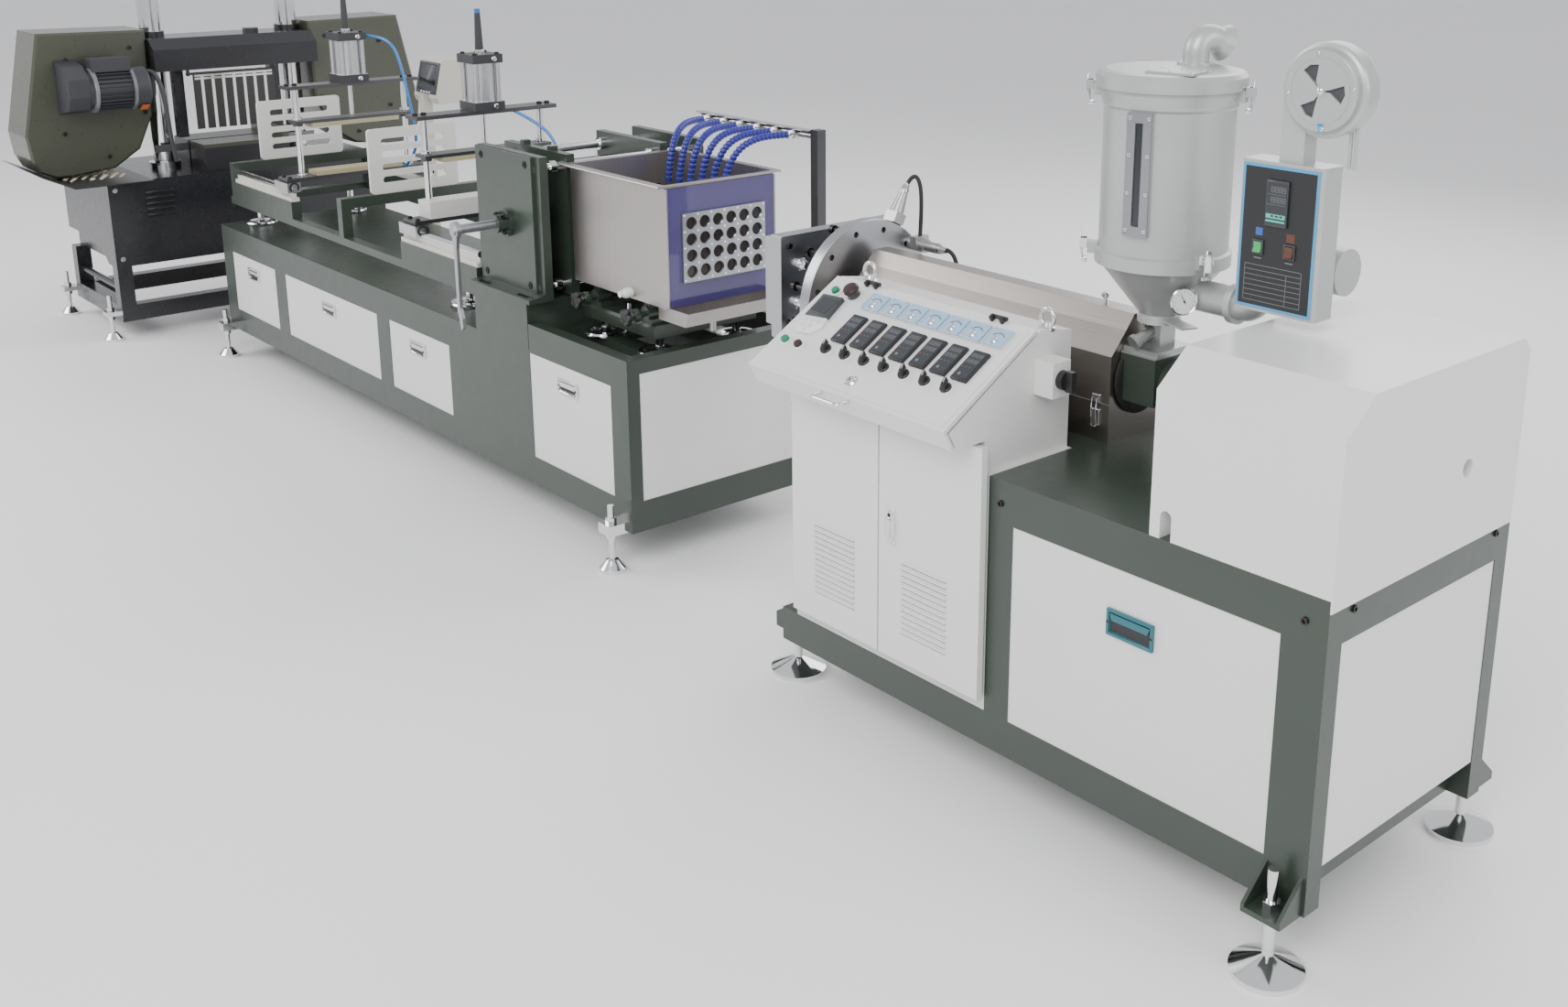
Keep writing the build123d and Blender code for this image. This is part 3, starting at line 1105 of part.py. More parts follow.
sizing_y = (PRESS_MOVING_Y + PRESS_PLATE + CLEAR, PRESS_FIXED_Y)
with BuildPart() as sizing_block:
    block(SIZING_X, sizing_y, (BLOCK_TOP + 70, PRESS_TOP - 75))
    block((SIZING_X[0] + 60, SIZING_X[1] - 60), sizing_y, (BLOCK_TOP, BLOCK_TOP + 70))
    stick_bores(STICK_BORE_R, SIZING_X[0], SIZING_X[1] - SIZING_X[0])

# Puller frame on levelling feet, with the guide portals at its ends
side_y = (LINE_Y - PORTAL_HALF, LINE_Y + PORTAL_HALF)
beam_sides = ((side_y[0], side_y[0] + BEAM_SHEET), (side_y[1] - BEAM_SHEET, side_y[1]))
with BuildPart() as puller_frame:
    for depth in beam_sides:
        block((PORTAL_X[0], PULLER_BEAMS[1][1]), depth, (BEAM_Z[0], BEAM_Z[0] + BEAM_BOTTOM_SHEET))
        for beam in PULLER_BEAMS:
            block(beam, depth, BEAM_Z)
        for x in PORTAL_X:
            block((x - PORTAL_TUBE / 2, x + PORTAL_TUBE / 2), depth, (BEAM_Z[0], PORTAL_TOP))
    for x in PORTAL_X:
        block((x - PORTAL_TUBE / 2, x + PORTAL_TUBE / 2), side_y, (PORTAL_TOP - PORTAL_TUBE, PORTAL_TOP))
    for x in PULLER_DISC_X:
        block((x - 30, x + 30), side_y, (BEAM_Z[0], BEAM_Z[0] + BEAM_BOTTOM_SHEET))

with BuildPart() as guide_rails:
    for beam in PULLER_BEAMS:
        for depth in beam_sides:
            middle = sum(depth) / 2
            block(beam, (middle - 16, middle + 16), (BEAM_Z[1], BEAM_Z[1] + 16))
            block(beam, (middle - 5, middle + 5), (BEAM_Z[1] + 16, RAIL_Z))
            rod(RAIL_R, (beam[0], middle, RAIL_Z), "X", beam[1] - beam[0])

with BuildPart() as slotted_plates:
    width, sheet = SLOT_PLATE
    height = 2 * (LINE_Z - PORTAL_TOP)
    for x in PORTAL_X:
        with BuildSketch(Plane.YZ.offset(x - sheet / 2)):
            with Locations((LINE_Y, LINE_Z)):
                RectangleRounded(width, height, 14)
                with GridLocations(0, STICK_PITCH, 1, STICK_ROWS):
                    SlotOverall(270, 26, mode=Mode.SUBTRACT)
        extrude(amount=sheet)

with BuildPart() as hmi_box:
    hmi_front, hmi_back = HMI_Y
    low, high = HMI_Z
    wedge = [(hmi_front + 8, low), (hmi_back, low), (hmi_back, high - 16), (hmi_back - 20, high)]
    prism_x(wedge + [(hmi_front + 40, high), (hmi_front, low + 24)], HMI_X)
    block(HMI_POST_X, (bench_back, bench_back + HMI_POST), (BENCH_DECK - 200, low + 40))


# One puller station: a carriage on the rails, its cylinder, and the clamp plate that it drives
base_z = (RAIL_Z + RAIL_R + 20, RAIL_Z + RAIL_R + 20 + STATION_SHEET)


def carriage(x, pad_half, pad_height):
    """Sliding base on its bearing blocks, two posts, the top plate and the lower pad."""
    half = STATION_WIDTH / 2
    block((x - half, x + half), (LINE_Y - 320, LINE_Y + 320), base_z)
    block((x - half, x + half), (LINE_Y - STATION_HALF, LINE_Y + STATION_HALF), (STATION_TOP - STATION_SHEET, STATION_TOP))
    for side in (-1, 1):
        rail_y = LINE_Y + side * (PORTAL_HALF - BEAM_SHEET / 2)
        block((x - half - 20, x + half + 20), (rail_y - 28, rail_y + 28), (RAIL_Z - 8, base_z[0]))
        rod(RAIL_R + GAP, (x - half - 20, rail_y, RAIL_Z), "X", STATION_WIDTH + 40, Mode.SUBTRACT)
        block((x - half - 20, x + half + 20), (rail_y - 7, rail_y + 7), (RAIL_Z - 8, RAIL_Z), Mode.SUBTRACT)
        rod(POST_R, (x, LINE_Y + side * POST_HALF, base_z[1]), "Z", STATION_TOP - STATION_SHEET - base_z[1])
    block((x - half, x + half), (LINE_Y - pad_half, LINE_Y + pad_half), (base_z[1], base_z[1] + pad_height))
    rod(14, (x, LINE_Y, STATION_TOP - STATION_SHEET), "Z", STATION_SHEET, Mode.SUBTRACT)


def cylinder(x):
    """Air cylinder: two caps, the tube between them, four tie rods and the tall silencer on top."""
    side = CYLINDER_SIDE / 2
    top = STATION_TOP + CYLINDER_HEIGHT
    for z in (STATION_TOP, top - CYLINDER_CAP):
        block((x - side, x + side), (LINE_Y - side, LINE_Y + side), (z, z + CYLINDER_CAP))
    tube_z = STATION_TOP + CYLINDER_CAP - 1
    tube_height = CYLINDER_HEIGHT - 2 * CYLINDER_CAP + 2
    rod(side - 7, (x, LINE_Y, tube_z), "Z", tube_height)
    for corner_x in (x - side + 15, x + side - 15):
        for corner_y in (LINE_Y - side + 15, LINE_Y + side - 15):
            rod(9, (corner_x, corner_y, tube_z), "Z", tube_height)
    with Locations((x, LINE_Y, top - 1)):
        Cone(16, 10, SILENCER_HEIGHT, align=upright)
    rod(12, (x, LINE_Y, STATION_TOP), "Z", CYLINDER_HEIGHT / 2, Mode.SUBTRACT)


def clamp(x):
    half = STATION_WIDTH / 2 - 6
    block((x - half, x + half), (LINE_Y - 260, LINE_Y + 260), (CLAMP_Z, CLAMP_Z + 12))
    block((x - half, x + half), (LINE_Y - PAD_HALF, LINE_Y + PAD_HALF), (CLAMP_Z - PAD_HEIGHT, CLAMP_Z))
    rod(9, (x, LINE_Y, CLAMP_Z + 12), "Z", STATION_TOP + 50 - CLAMP_Z - 12)
    for side in (-1, 1):
        rod(20, (x, LINE_Y + side * POST_HALF, CLAMP_Z - 12), "Z", 36)
        rod(POST_R + GAP, (x, LINE_Y + side * POST_HALF, CLAMP_Z - 20), "Z", 50, Mode.SUBTRACT)


with BuildPart() as carriage_1:
    carriage(STATION_X[0], PAD_HALF, PAD_HEIGHT)

with BuildPart() as carriage_2:
    carriage(STATION_X[1], RISER_HALF, RISER_HEIGHT)

with BuildPart() as cylinder_1:
    cylinder(STATION_X[0])

with BuildPart() as cylinder_2:
    cylinder(STATION_X[1])

with BuildPart() as clamp_1:
    clamp(STATION_X[0])

with BuildPart() as clamp_2:
    clamp(STATION_X[1])

# Band saw: cabinet on a low frame, two columns, and a head with a wheel cover at each end
saw_front, saw_back = SAW_Y
saw_left, saw_right = SAW_X
with BuildPart() as saw_body:
    block(SAW_X, SAW_Y, SAW_BODY_Z)
    notch = [(saw_left, SAW_BODY_Z[0]), (saw_right - 110, SAW_BODY_Z[0]), (saw_right - 190, SAW_BODY_Z[0] + 60)]
    notch += [(saw_left + 150, SAW_BODY_Z[0] + 90), (saw_left, SAW_BODY_Z[0] + 90)]
    prism_y(notch, (saw_front, saw_front + 40), Mode.SUBTRACT)
    for index in range(SAW_LOUVRES):
        z = SAW_LOUVRE_Z + index * 26
        block((saw_right - 5, saw_right), (saw_front + 160, saw_front + 290), (z, z + 9), Mode.SUBTRACT)

with BuildPart() as saw_stand:
    for y in (saw_front, saw_back - SAW_RAIL):
        block(SAW_X, (y, y + SAW_RAIL), SAW_RAIL_Z)
        for x in (saw_left, saw_right - SAW_RAIL):
            block((x, x + SAW_RAIL), (y, y + SAW_RAIL), (SAW_RAIL_Z[1], SAW_BODY_Z[0]))
    for x in (saw_left, saw_right - SAW_RAIL):
        block((x, x + SAW_RAIL), SAW_Y, SAW_RAIL_Z)
    rod(16, (saw_left, saw_front + 30, SAW_RAIL_Z[1] + 70), "X", saw_right - saw_left - SAW_RAIL)

saw_lug_z = (120, 140)
saw_feet_places = [(x, y) for x in (saw_left + 3, saw_right - 31) for y in (saw_front - 42, saw_back + 42)]
with BuildPart() as saw_feet:
    for x, y in saw_feet_places:
        foot(x, y, BENCH_PAD_R, BENCH_STUD_R, 215, saw_lug_z)
        lug_y = (y - 26, saw_front) if y < LINE_Y else (saw_back, y + 26)
        block((x - 32, x + 32), lug_y, saw_lug_z)

with BuildPart() as saw_columns:
    for side in (-1, 1):
        y = SAW_MIDDLE + side * SAW_COLUMN_HALF
        rod(SAW_COLUMN_R, (SAW_COLUMN_X, y, SAW_BODY_Z[1]), "Z", SAW_COLUMN_TOP - SAW_BODY_Z[1])
        rod(SAW_COLUMN_R + 22, (SAW_COLUMN_X, y, SAW_BODY_Z[1]), "Z", 28)

# Split table with a vise jaw on each half, and the chip tray at the front end
with BuildPart() as saw_table:
    table_z = (SAW_BODY_Z[1], SAW_TABLE_Z)
    for x in ((SAW_TABLE_X[0], SAW_BLADE_X - 12), (SAW_BLADE_X + 12, SAW_TABLE_X[1])):
        block(x, (LINE_Y - 205, LINE_Y + 205), table_z)
        block(x, (LINE_Y + 175, LINE_Y + 205), (SAW_TABLE_Z, SAW_TABLE_Z + 55))
    tray_lip = [(saw_front - 280, 800), (saw_front - 276, 800), (saw_front - 150, SAW_BODY_Z[1] + 4)]
    tray_lip += [(saw_front + 190, SAW_BODY_Z[1] + 4), (saw_front + 190, SAW_BODY_Z[1]), (saw_front - 150, SAW_BODY_Z[1])]
    prism_x(tray_lip, (saw_left + 90, saw_right + 60))

# Head beam: a folded top over a deep web, bored for the columns
beam_low, beam_high = SAW_BEAM_Z
beam_back, beam_front = SAW_BEAM_X
beam_profile = [
    (beam_back, beam_low),
    (beam_front, beam_low),
    (beam_front, beam_high - 46),
    (beam_front - 62, beam_high),
    (beam_back, beam_high),
]
inner_out = SAW_COVER_OUTLINE[0][0]
with BuildPart() as saw_beam:
    prism_y(beam_profile, (SAW_MIDDLE - inner_out, SAW_MIDDLE + inner_out))
    for side in (-1, 1):
        y = SAW_MIDDLE + side * SAW_COLUMN_HALF
        rod(SAW_COLUMN_R + 10, (SAW_COLUMN_X, y, beam_high), "Z", 26)
        rod(SAW_COLUMN_R + 1, (SAW_COLUMN_X, y, beam_low), "Z", beam_high - beam_low + 26, Mode.SUBTRACT)
        arm_y = LINE_Y + side * 230
        block((SAW_BLADE_X - 26, SAW_BLADE_X + 26), (arm_y - 22, arm_y + 22), (SAW_BLADE_Z[1] + 30, beam_low))
    with BuildSketch(Plane.XY.offset(beam_high)) as lug:
        with Locations((SAW_BLADE_X, LINE_Y + 140)):
            RegularPolygon(36, 6)
    extrude(lug.sketch, amount=24)

# Wheel covers: one outline, mirrored across the line
with BuildPart() as saw_wheel_covers:
    for side in (-1, 1):
        outline = [(SAW_MIDDLE + side * out, z) for out, z in SAW_COVER_OUTLINE]
        prism_x(outline, SAW_COVER_X)
    chamfer(saw_wheel_covers.faces().sort_by(Axis.X)[-2:].edges(), 10)

with BuildPart() as saw_blade:
    block((SAW_BLADE_X - 1, SAW_BLADE_X + 1), (SAW_MIDDLE - inner_out, SAW_MIDDLE + inner_out), SAW_BLADE_Z)

# Strip curtain that hangs from a rod on the beam's front
with BuildPart() as saw_curtain:
    curtain_x = beam_front - 20
    rod(6, (curtain_x, LINE_Y - 220, beam_low - 20), "Y", 440)
    for y in (LINE_Y - 216, LINE_Y + 206):
        block((curtain_x - 8, curtain_x + 8), (y, y + 10), (beam_low - 30, beam_low))
    for index in range(8):
        y = LINE_Y - 190 + index * 50
        block((curtain_x - 4, curtain_x + 4), (y, y + 34), (SAW_CURTAIN_LOW, beam_low - 14))

# Drive motor: finned barrel, end bell and terminal box, with the gear case that carries it
motor_x, motor_z, motor_r = SAW_MOTOR
motor_front = SAW_MIDDLE - 711
with BuildPart() as saw_motor:
    rod(motor_r - 12, (motor_x, motor_front, motor_z), "Y", 262)
    for index in range(MOTOR_FINS):
        angle = 360 * index / MOTOR_FINS
        with Locations(Location((motor_x, motor_front + 20, motor_z), (0, angle, 0))):
            Box(motor_r * 2, 170, 5, align=(Align.CENTER, Align.MIN, Align.CENTER))
    rod(motor_r, (motor_x, motor_front + 190, motor_z), "Y", 72)
    fillet(saw_motor.edges().filter_by(GeomType.CIRCLE).group_by(Axis.Y)[-1], 14)
    block((motor_x - 52, motor_x + 52), (motor_front + 20, motor_front + 190), (motor_z + motor_r - 12, motor_z + motor_r + 46))
    gear_case = [
        (SAW_COVER_X[1], motor_z - 110),
        (motor_x + 40, motor_z - 80),
        (motor_x + 80, motor_z - 20),
        (motor_x + 80, motor_z + 60),
        (motor_x, motor_z + 110),
        (SAW_COVER_X[1], motor_z + 130),
    ]
    prism_y(gear_case, (motor_front - 90, motor_front))

pieces = {
    "extruder_frame": extruder_frame,
    "extruder_feet": extruder_feet,
    "extruder_panels": extruder_panels,
    "drive_housing": drive_housing,
    "control_cabinet": control_cabinet,
    "cabinet_door_left": cabinet_door_left,
    "cabinet_door_right": cabinet_door_right,
    "control_console": control_console,
    "console_lid": console_lid,
    "console_instruments": console_instruments,
    "lid_fittings": lid_fittings,
    "main_switch_knob": main_switch_knob,
    "barrel": barrel,
    "barrel_cover": barrel_cover,
    "die_flange": die_flange,
    "die_block": die_block,
    "die_bolts": die_bolts,
    "heater_plugs": heater_plugs,
    "feed_throat": feed_throat,
    "hopper_body": hopper_body,
    "hopper_cone": hopper_cone,
    "hopper_lid": hopper_lid,
    "dryer_box": dryer_box,
    "dryer_blower": dryer_blower,
    "hot_air_pipe": hot_air_pipe,
    "bench_frame": bench_frame,
    "bench_panels": bench_panels,
    "bench_feet": bench_feet,
    "tank_shell": tank_shell,
    "tank_window": tank_window,
    "tank_hole_plate": tank_hole_plate,
    "tank_slide": tank_slide,
    "deck_feet": deck_feet,
    "manifold": manifold,
    "coolant_hoses": coolant_hoses,
    "press_plates": press_plates,
    "tie_rods": tie_rods,
    "press_platen": press_platen,
    "press_screw": press_screw,
    "sizing_block": sizing_block,
    "puller_frame": puller_frame,
    "guide_rails": guide_rails,
    "slotted_plates": slotted_plates,
    "hmi_box": hmi_box,
    "carriage_1": carriage_1,
    "carriage_2": carriage_2,
    "cylinder_1": cylinder_1,
    "cylinder_2": cylinder_2,
    "clamp_1": clamp_1,
    "clamp_2": clamp_2,
    "saw_body": saw_body,
    "saw_stand": saw_stand,
    "saw_feet": saw_feet,
    "saw_columns": saw_columns,
    "saw_table": saw_table,
    "saw_beam": saw_beam,
    "saw_wheel_covers": saw_wheel_covers,
    "saw_blade": saw_blade,
    "saw_curtain": saw_curtain,
    "saw_motor": saw_motor,
}
for label, piece in pieces.items():
    write(piece, label)
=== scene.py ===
import math

import bmesh
import bpy
from mathutils import Matrix, Vector


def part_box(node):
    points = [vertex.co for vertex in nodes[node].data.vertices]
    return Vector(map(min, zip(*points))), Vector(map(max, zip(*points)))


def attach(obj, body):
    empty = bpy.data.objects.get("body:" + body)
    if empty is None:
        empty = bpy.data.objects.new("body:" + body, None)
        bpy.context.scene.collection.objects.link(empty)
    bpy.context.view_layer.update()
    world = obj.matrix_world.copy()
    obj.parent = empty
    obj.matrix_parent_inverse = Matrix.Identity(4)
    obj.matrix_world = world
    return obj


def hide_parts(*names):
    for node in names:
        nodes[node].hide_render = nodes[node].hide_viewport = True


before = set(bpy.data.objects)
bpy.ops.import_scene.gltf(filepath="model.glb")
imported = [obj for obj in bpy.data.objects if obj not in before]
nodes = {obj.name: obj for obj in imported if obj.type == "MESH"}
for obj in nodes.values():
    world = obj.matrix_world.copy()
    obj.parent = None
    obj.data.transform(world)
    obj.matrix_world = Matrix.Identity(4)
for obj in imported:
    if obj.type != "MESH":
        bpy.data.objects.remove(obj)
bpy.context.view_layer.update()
print("frame loaded:", len(nodes), "nodes")

view = {  # where the photograph was taken from, in metres and degrees
    "place": (1.437, -2.437, 2.067),
    "yaw": 47.964,
    "pitch": 15.265,
    "roll": 0.253,
    "lens": 36.864,
    "shift": (-0.0542, -0.1167),
}


def addCamera():
    yaw, pitch = math.radians(view["yaw"]), math.radians(view["pitch"])
    ahead = Vector((-math.sin(yaw) * math.cos(pitch), math.cos(yaw) * math.cos(pitch), -math.sin(pitch)))
    right = Vector((math.cos(yaw), math.sin(yaw), 0))
    turn = Matrix((right, right.cross(ahead), -ahead)).transposed()
    camera = bpy.data.objects.new("camera", bpy.data.cameras.new("camera"))
    camera.data.sensor_width = 36
    camera.data.lens = view["lens"]
    camera.data.shift_x, camera.data.shift_y = view["shift"]
    camera.data.clip_end = 100
    roll = Matrix.Rotation(math.radians(view["roll"]), 3, "Z")
    camera.matrix_world = Matrix.Translation(view["place"]) @ (turn @ roll).to_4x4()
    bpy.context.scene.collection.objects.link(camera)
    bpy.context.scene.camera = camera


lights = {
    "key": {"place": (1.5, -5.0, 5.5), "aim": (-2.5, 0.3, 0.8), "size": 4.5, "power": 430},
    "fill": {"place": (4.5, 1.5, 3.5), "aim": (-2.0, 0.4, 0.8), "size": 3.5, "power": 120},
    "far": {"place": (-8.0, -4.0, 4.8), "aim": (-5.0, 0.4, 0.8), "size": 4.0, "power": 300},
    "back": {"place": (-3.0, 5.5, 4.5), "aim": (-3.0, 0.4, 1.0), "size": 5.0, "power": 200},
    "sky": 0.88,
}


def addLights():
    for name in ("key", "fill", "far", "back"):
        spec = lights[name]
        lamp = bpy.data.lights.new(name, "AREA")
        lamp.size = spec["size"]
        lamp.energy = spec["power"]
        holder = bpy.data.objects.new(name, lamp)
        aim = Vector(spec["aim"]) - Vector(spec["place"])
        turn = aim.to_track_quat("-Z", "Y").to_matrix().to_4x4()
        holder.matrix_world = Matrix.Translation(spec["place"]) @ turn
        bpy.context.scene.collection.objects.link(holder)
    world = bpy.data.worlds.new("studio")
    world.use_nodes = True
    world.node_tree.nodes["Background"].inputs["Color"].default_value = (0.95, 0.96, 1.0, 1)
    world.node_tree.nodes["Background"].inputs["Strength"].default_value = lights["sky"]
    bpy.context.scene.world = world


class Field:  # a node's output that takes part in Python maths
    def __init__(self, finish, socket):
        self.finish, self.socket = finish, socket

    def maths(self, operation, first, second):
        return self.finish.node("ShaderNodeMath", {"operation": operation}, {0: first, 1: second})

    def __add__(self, other):
        return self.maths("ADD", self, other)

    def __sub__(self, other):
        return self.maths("SUBTRACT", self, other)

    def __rsub__(self, other):
        return self.maths("SUBTRACT", other, self)

    def __mul__(self, other):
        return self.maths("MULTIPLY", self, other)

    def __gt__(self, other):
        return self.maths("GREATER_THAN", self, other)

    def __lt__(self, other):
        return self.maths("LESS_THAN", self, other)

    def __abs__(self):
        return self.maths("ABSOLUTE", self, 0.0)

    __radd__ = __add__
    __rmul__ = __mul__


class Finish:  # one material and the nodes that make it
    def __init__(self, name, **shell):
        self.material = bpy.data.materials.new(name)
        self.material.use_nodes = True
        self.tree = self.material.node_tree
        self.shader = self.tree.nodes["Principled BSDF"]
        for socket, value in shell.items():
            self.feed(socket.replace("_", " "), value)

    def node(self, kind, settings, sockets, output=0):
        made = self.tree.nodes.new(kind)
        for name, value in settings.items():
            setattr(made, name, value)
        for name, value in sockets.items():
            self.join(made.inputs[name], value)
        return Field(self, made.outputs[output])

    def join(self, socket, value):
        if isinstance(value, Field):
            self.tree.links.new(value.socket, socket)
        elif isinstance(value, tuple) and len(value) == 3 and socket.type == "RGBA":
            socket.default_value = (*value, 1)
        else:
            socket.default_value = value

    def feed(self, name, value):
        self.join(self.shader.inputs[name], value)

    def along(self, axis):  # one of the object's own coordinates, in metres
        at = self.node("ShaderNodeTexCoord", {}, {}, "Object")
        return self.node("ShaderNodeSeparateXYZ", {}, {"Vector": at}, axis)

    def noise(self, scale, detail=3.0, stretch=(1, 1, 1)):
        at = self.node("ShaderNodeTexCoord", {}, {}, "Object")
        placed = self.node("ShaderNodeMapping", {}, {"Vector": at, "Scale": stretch})
        return self.node(
            "ShaderNodeTexNoise", {}, {"Vector": placed, "Scale": scale, "Detail": detail}, "Fac"
        )

    def mix(self, factor, first, second):
        settings = {"data_type": "RGBA", "clamp_factor": True}
        return self.node("ShaderNodeMix", settings, {"Factor": factor, 6: first, 7: second}, 2)

    def relief(self, height, strength, distance):
        sockets = {"Height": height, "Strength": strength, "Distance": distance}
        self.feed("Normal", self.node("ShaderNodeBump", {}, sockets, "Normal"))


def shade(colour, factor):
    return tuple(min(1.0, channel * factor) for channel in colour)


def painted(name, colour, rough=0.38, spread=0.14, peel=0.12, darkeningTop=0.32):
    made = Finish(name, Coat_Weight=0.25, Coat_Roughness=0.22)
    cloud = made.noise(3.2, 5.0)
    # the paint turns darker towards the bottom, in patches, below a given height
    lowDarkening = (darkeningTop - made.along("Z")) * 1.6 * made.noise(9.0, 4.0)
    tone = made.mix(cloud, shade(colour, 1 - spread), shade(colour, 1 + spread))
    scuff = (made.noise(38.0, 6.0, (1, 1, 3)) > 0.71) * 0.35
    tone = made.mix(scuff, tone, shade(colour, 1 + 2.2 * spread))
    made.feed("Base Color", made.mix(lowDarkening, tone, shade(colour, 0.55)))
    made.feed("Roughness", made.noise(26.0, 3.0) * 0.16 + (rough - 0.08))
    made.relief(made.noise(900.0, 2.0), peel, 0.0004)
    return made.material


def brushed(name, colour, rough=0.3, along="Z", metal=1.0, spread=0.12, strength=0.12):
    stretch = {"X": (4, 260, 260), "Y": (260, 4, 260), "Z": (260, 260, 4)}[along]
    made = Finish(name, Metallic=metal)
    grain = made.noise(1.0, 2.0, stretch)
    cloud = made.noise(2.6, 4.0)
    mixed = grain * 0.5 + cloud * 0.5
    made.feed("Base Color", made.mix(mixed, shade(colour, 1 - spread), shade(colour, 1 + spread)))
    made.feed("Roughness", mixed * 0.22 + (rough - 0.1))
    made.relief(grain, strength, 0.0004)
    return made.material


def polished(name, colour, rough=0.1):
    made = Finish(name, Metallic=1.0)
    made.feed("Base Color", made.mix(made.noise(7.0, 4.0), shade(colour, 0.9), shade(colour, 1.05)))
    made.feed("Roughness", made.noise(40.0, 3.0) * 0.12 + (rough - 0.04))
    return made.material


def moulded(name, colour, rough=0.42, grain=0.12, spread=0.1):
    made = Finish(name)
    made.feed(
        "Base Color", made.mix(made.noise(5.0, 3.0), shade(colour, 1 - spread), shade(colour, 1 + spread))
    )
    made.feed("Roughness", made.noise(60.0, 2.0) * 0.14 + (rough - 0.07))
    made.relief(made.noise(1400.0, 2.0), grain, 0.0003)
    return made.material


def cast(name, colour, rough=0.5, metal=0.0):
    made = Finish(name, Metallic=metal)
    made.feed("Base Color", made.mix(made.noise(6.0, 5.0), shade(colour, 0.82), shade(colour, 1.16)))
    made.feed("Roughness", made.noise(30.0, 4.0) * 0.2 + (rough - 0.1))
    made.relief(made.noise(260.0, 4.0), 0.3, 0.0008)
    return made.material


def acrylic(name, colour, alpha):
    made = Finish(name, Roughness=0.06, Coat_Weight=0.6, Coat_Roughness=0.04)
    made.feed("Base Color", made.mix(made.noise(2.0), shade(colour, 0.85), shade(colour, 1.15)))
    made.feed("Alpha", made.noise(3.0) * 0.1 + (alpha - 0.05))
    return made.material


def lit(name, colour, strength):
    made = Finish(name, Roughness=0.3, Emission_Strength=strength)
    tone = made.mix(made.noise(300.0), shade(colour, 0.8), colour)
    made.feed("Base Color", tone)
    made.feed("Emission Color", tone)
    return made.material


def zoned(name, ground, *zones):  # a finish whose look changes between parts of one CAD node
    made = Finish(name)
    cloud, fine = made.noise(4.0, 4.0), made.noise(50.0, 3.0)
    colour, rough, metal = ground
    tone = made.mix(cloud, shade(colour, 0.88), shade(colour, 1.12))
    for (colour, zoneRough, zoneMetal), place in zones:
        mask = place(made)
        tone = made.mix(mask, tone, made.mix(cloud, shade(colour, 0.88), shade(colour, 1.12)))
        rough = mask * (zoneRough - rough) + rough
        metal = mask * (zoneMetal - metal) + metal
    made.feed("Base Color", tone)
    made.feed("Roughness", fine * 0.14 + rough - 0.07)
    made.feed("Metallic", metal)
    made.relief(made.noise(500.0, 3.0), 0.08, 0.0004)
    return made.material


def floorFinish():
    made = Finish("floor")
    made.feed("Base Color", made.mix(made.noise(0.9, 4.0), (0.86, 0.86, 0.855), (0.90, 0.90, 0.895)))
    made.feed("Roughness", made.noise(3.0) * 0.15 + 0.55)
    return made.material


frameGreen = painted("frameGreen", (0.028, 0.041, 0.030), rough=0.34)
panelWhite = painted("panelWhite", (0.72, 0.72, 0.70), rough=0.32, spread=0.04)
sawBlack = painted("sawBlack", (0.010, 0.010, 0.013), rough=0.26, spread=0.2)
sawOlive = painted("sawOlive", (0.056, 0.060, 0.040), rough=0.3)
creamPaint = painted("creamPaint", (0.55, 0.53, 0.46), rough=0.36, spread=0.06)
cabinetGrey = painted("cabinetGrey", (0.60, 0.60, 0.58), rough=0.4, spread=0.05)
motorGrey = cast("motorGrey", (0.035, 0.036, 0.042), rough=0.45)
bellGrey = cast("bellGrey", (0.19, 0.19, 0.20), rough=0.4, metal=0.4)
satinSteel = brushed("satinSteel", (0.36, 0.33, 0.305), rough=0.30, along="X", spread=0.2)
tankSteel = brushed("tankSteel", (0.45, 0.42, 0.40), rough=0.36, along="Z", spread=0.16)
uprightSteel = brushed("uprightSteel", (0.52, 0.51, 0.50), rough=0.28, along="Z")
plateSteel = brushed("plateSteel", (0.43, 0.44, 0.46), rough=0.3, along="Y", strength=0.12)
darkSteel = brushed("darkSteel", (0.20, 0.20, 0.21), rough=0.34, along="X")
chrome = polished("chrome", (0.80, 0.80, 0.81), rough=0.08)
blackSteel = polished("blackSteel", (0.055, 0.052, 0.05), rough=0.3)
blackPlastic = moulded("blackPlastic", (0.014, 0.014, 0.015))
greyPlastic = moulded("greyPlastic", (0.045, 0.047, 0.052), rough=0.35)
whitePlastic = moulded("whitePlastic", (0.66, 0.65, 0.62), rough=0.45)
keyWhite = moulded("keyWhite", (0.78, 0.78, 0.78), rough=0.35, spread=0.04)
hoseBlue = moulded("hoseBlue", (0.028, 0.030, 0.27), rough=0.3)
airBlue = moulded("airBlue", (0.03, 0.18, 0.52), rough=0.25)
tealPlastic = moulded("tealPlastic", (0.02, 0.13, 0.16), rough=0.3)
stopBrown = moulded("stopBrown", (0.028, 0.012, 0.010), rough=0.35)
buttonGreen = moulded("buttonGreen", (0.01, 0.20, 0.10), rough=0.22)
rockerGreen = lit("rockerGreen", (0.04, 0.36, 0.10), 0.25)
rockerBrown = moulded("rockerBrown", (0.10, 0.035, 0.022), rough=0.25)
# glows by emission; on the meters' red pointers this glow is painted light
glowRed = lit("glowRed", (0.55, 0.05, 0.03), 0.3)
labelBlue = moulded("labelBlue", (0.03, 0.10, 0.38), rough=0.3)
borderBlue = moulded("borderBlue", (0.06, 0.30, 0.55), rough=0.3)
tealStrip = moulded("tealStrip", (0.08, 0.50, 0.42), rough=0.3)
labelOrange = moulded("labelOrange", (0.70, 0.16, 0.03), rough=0.35)
meterBlue = moulded("meterBlue", (0.34, 0.50, 0.66), rough=0.25, spread=0.06)
# glows faintly by emission: painted light on the printed lines and labels; on the dim display digits it
# stands for the displays' own light
glowGrey = lit("glowGrey", (0.16, 0.17, 0.18), 0.12)
curtainStrip = moulded("curtainStrip", (0.03, 0.028, 0.026), rough=0.35)
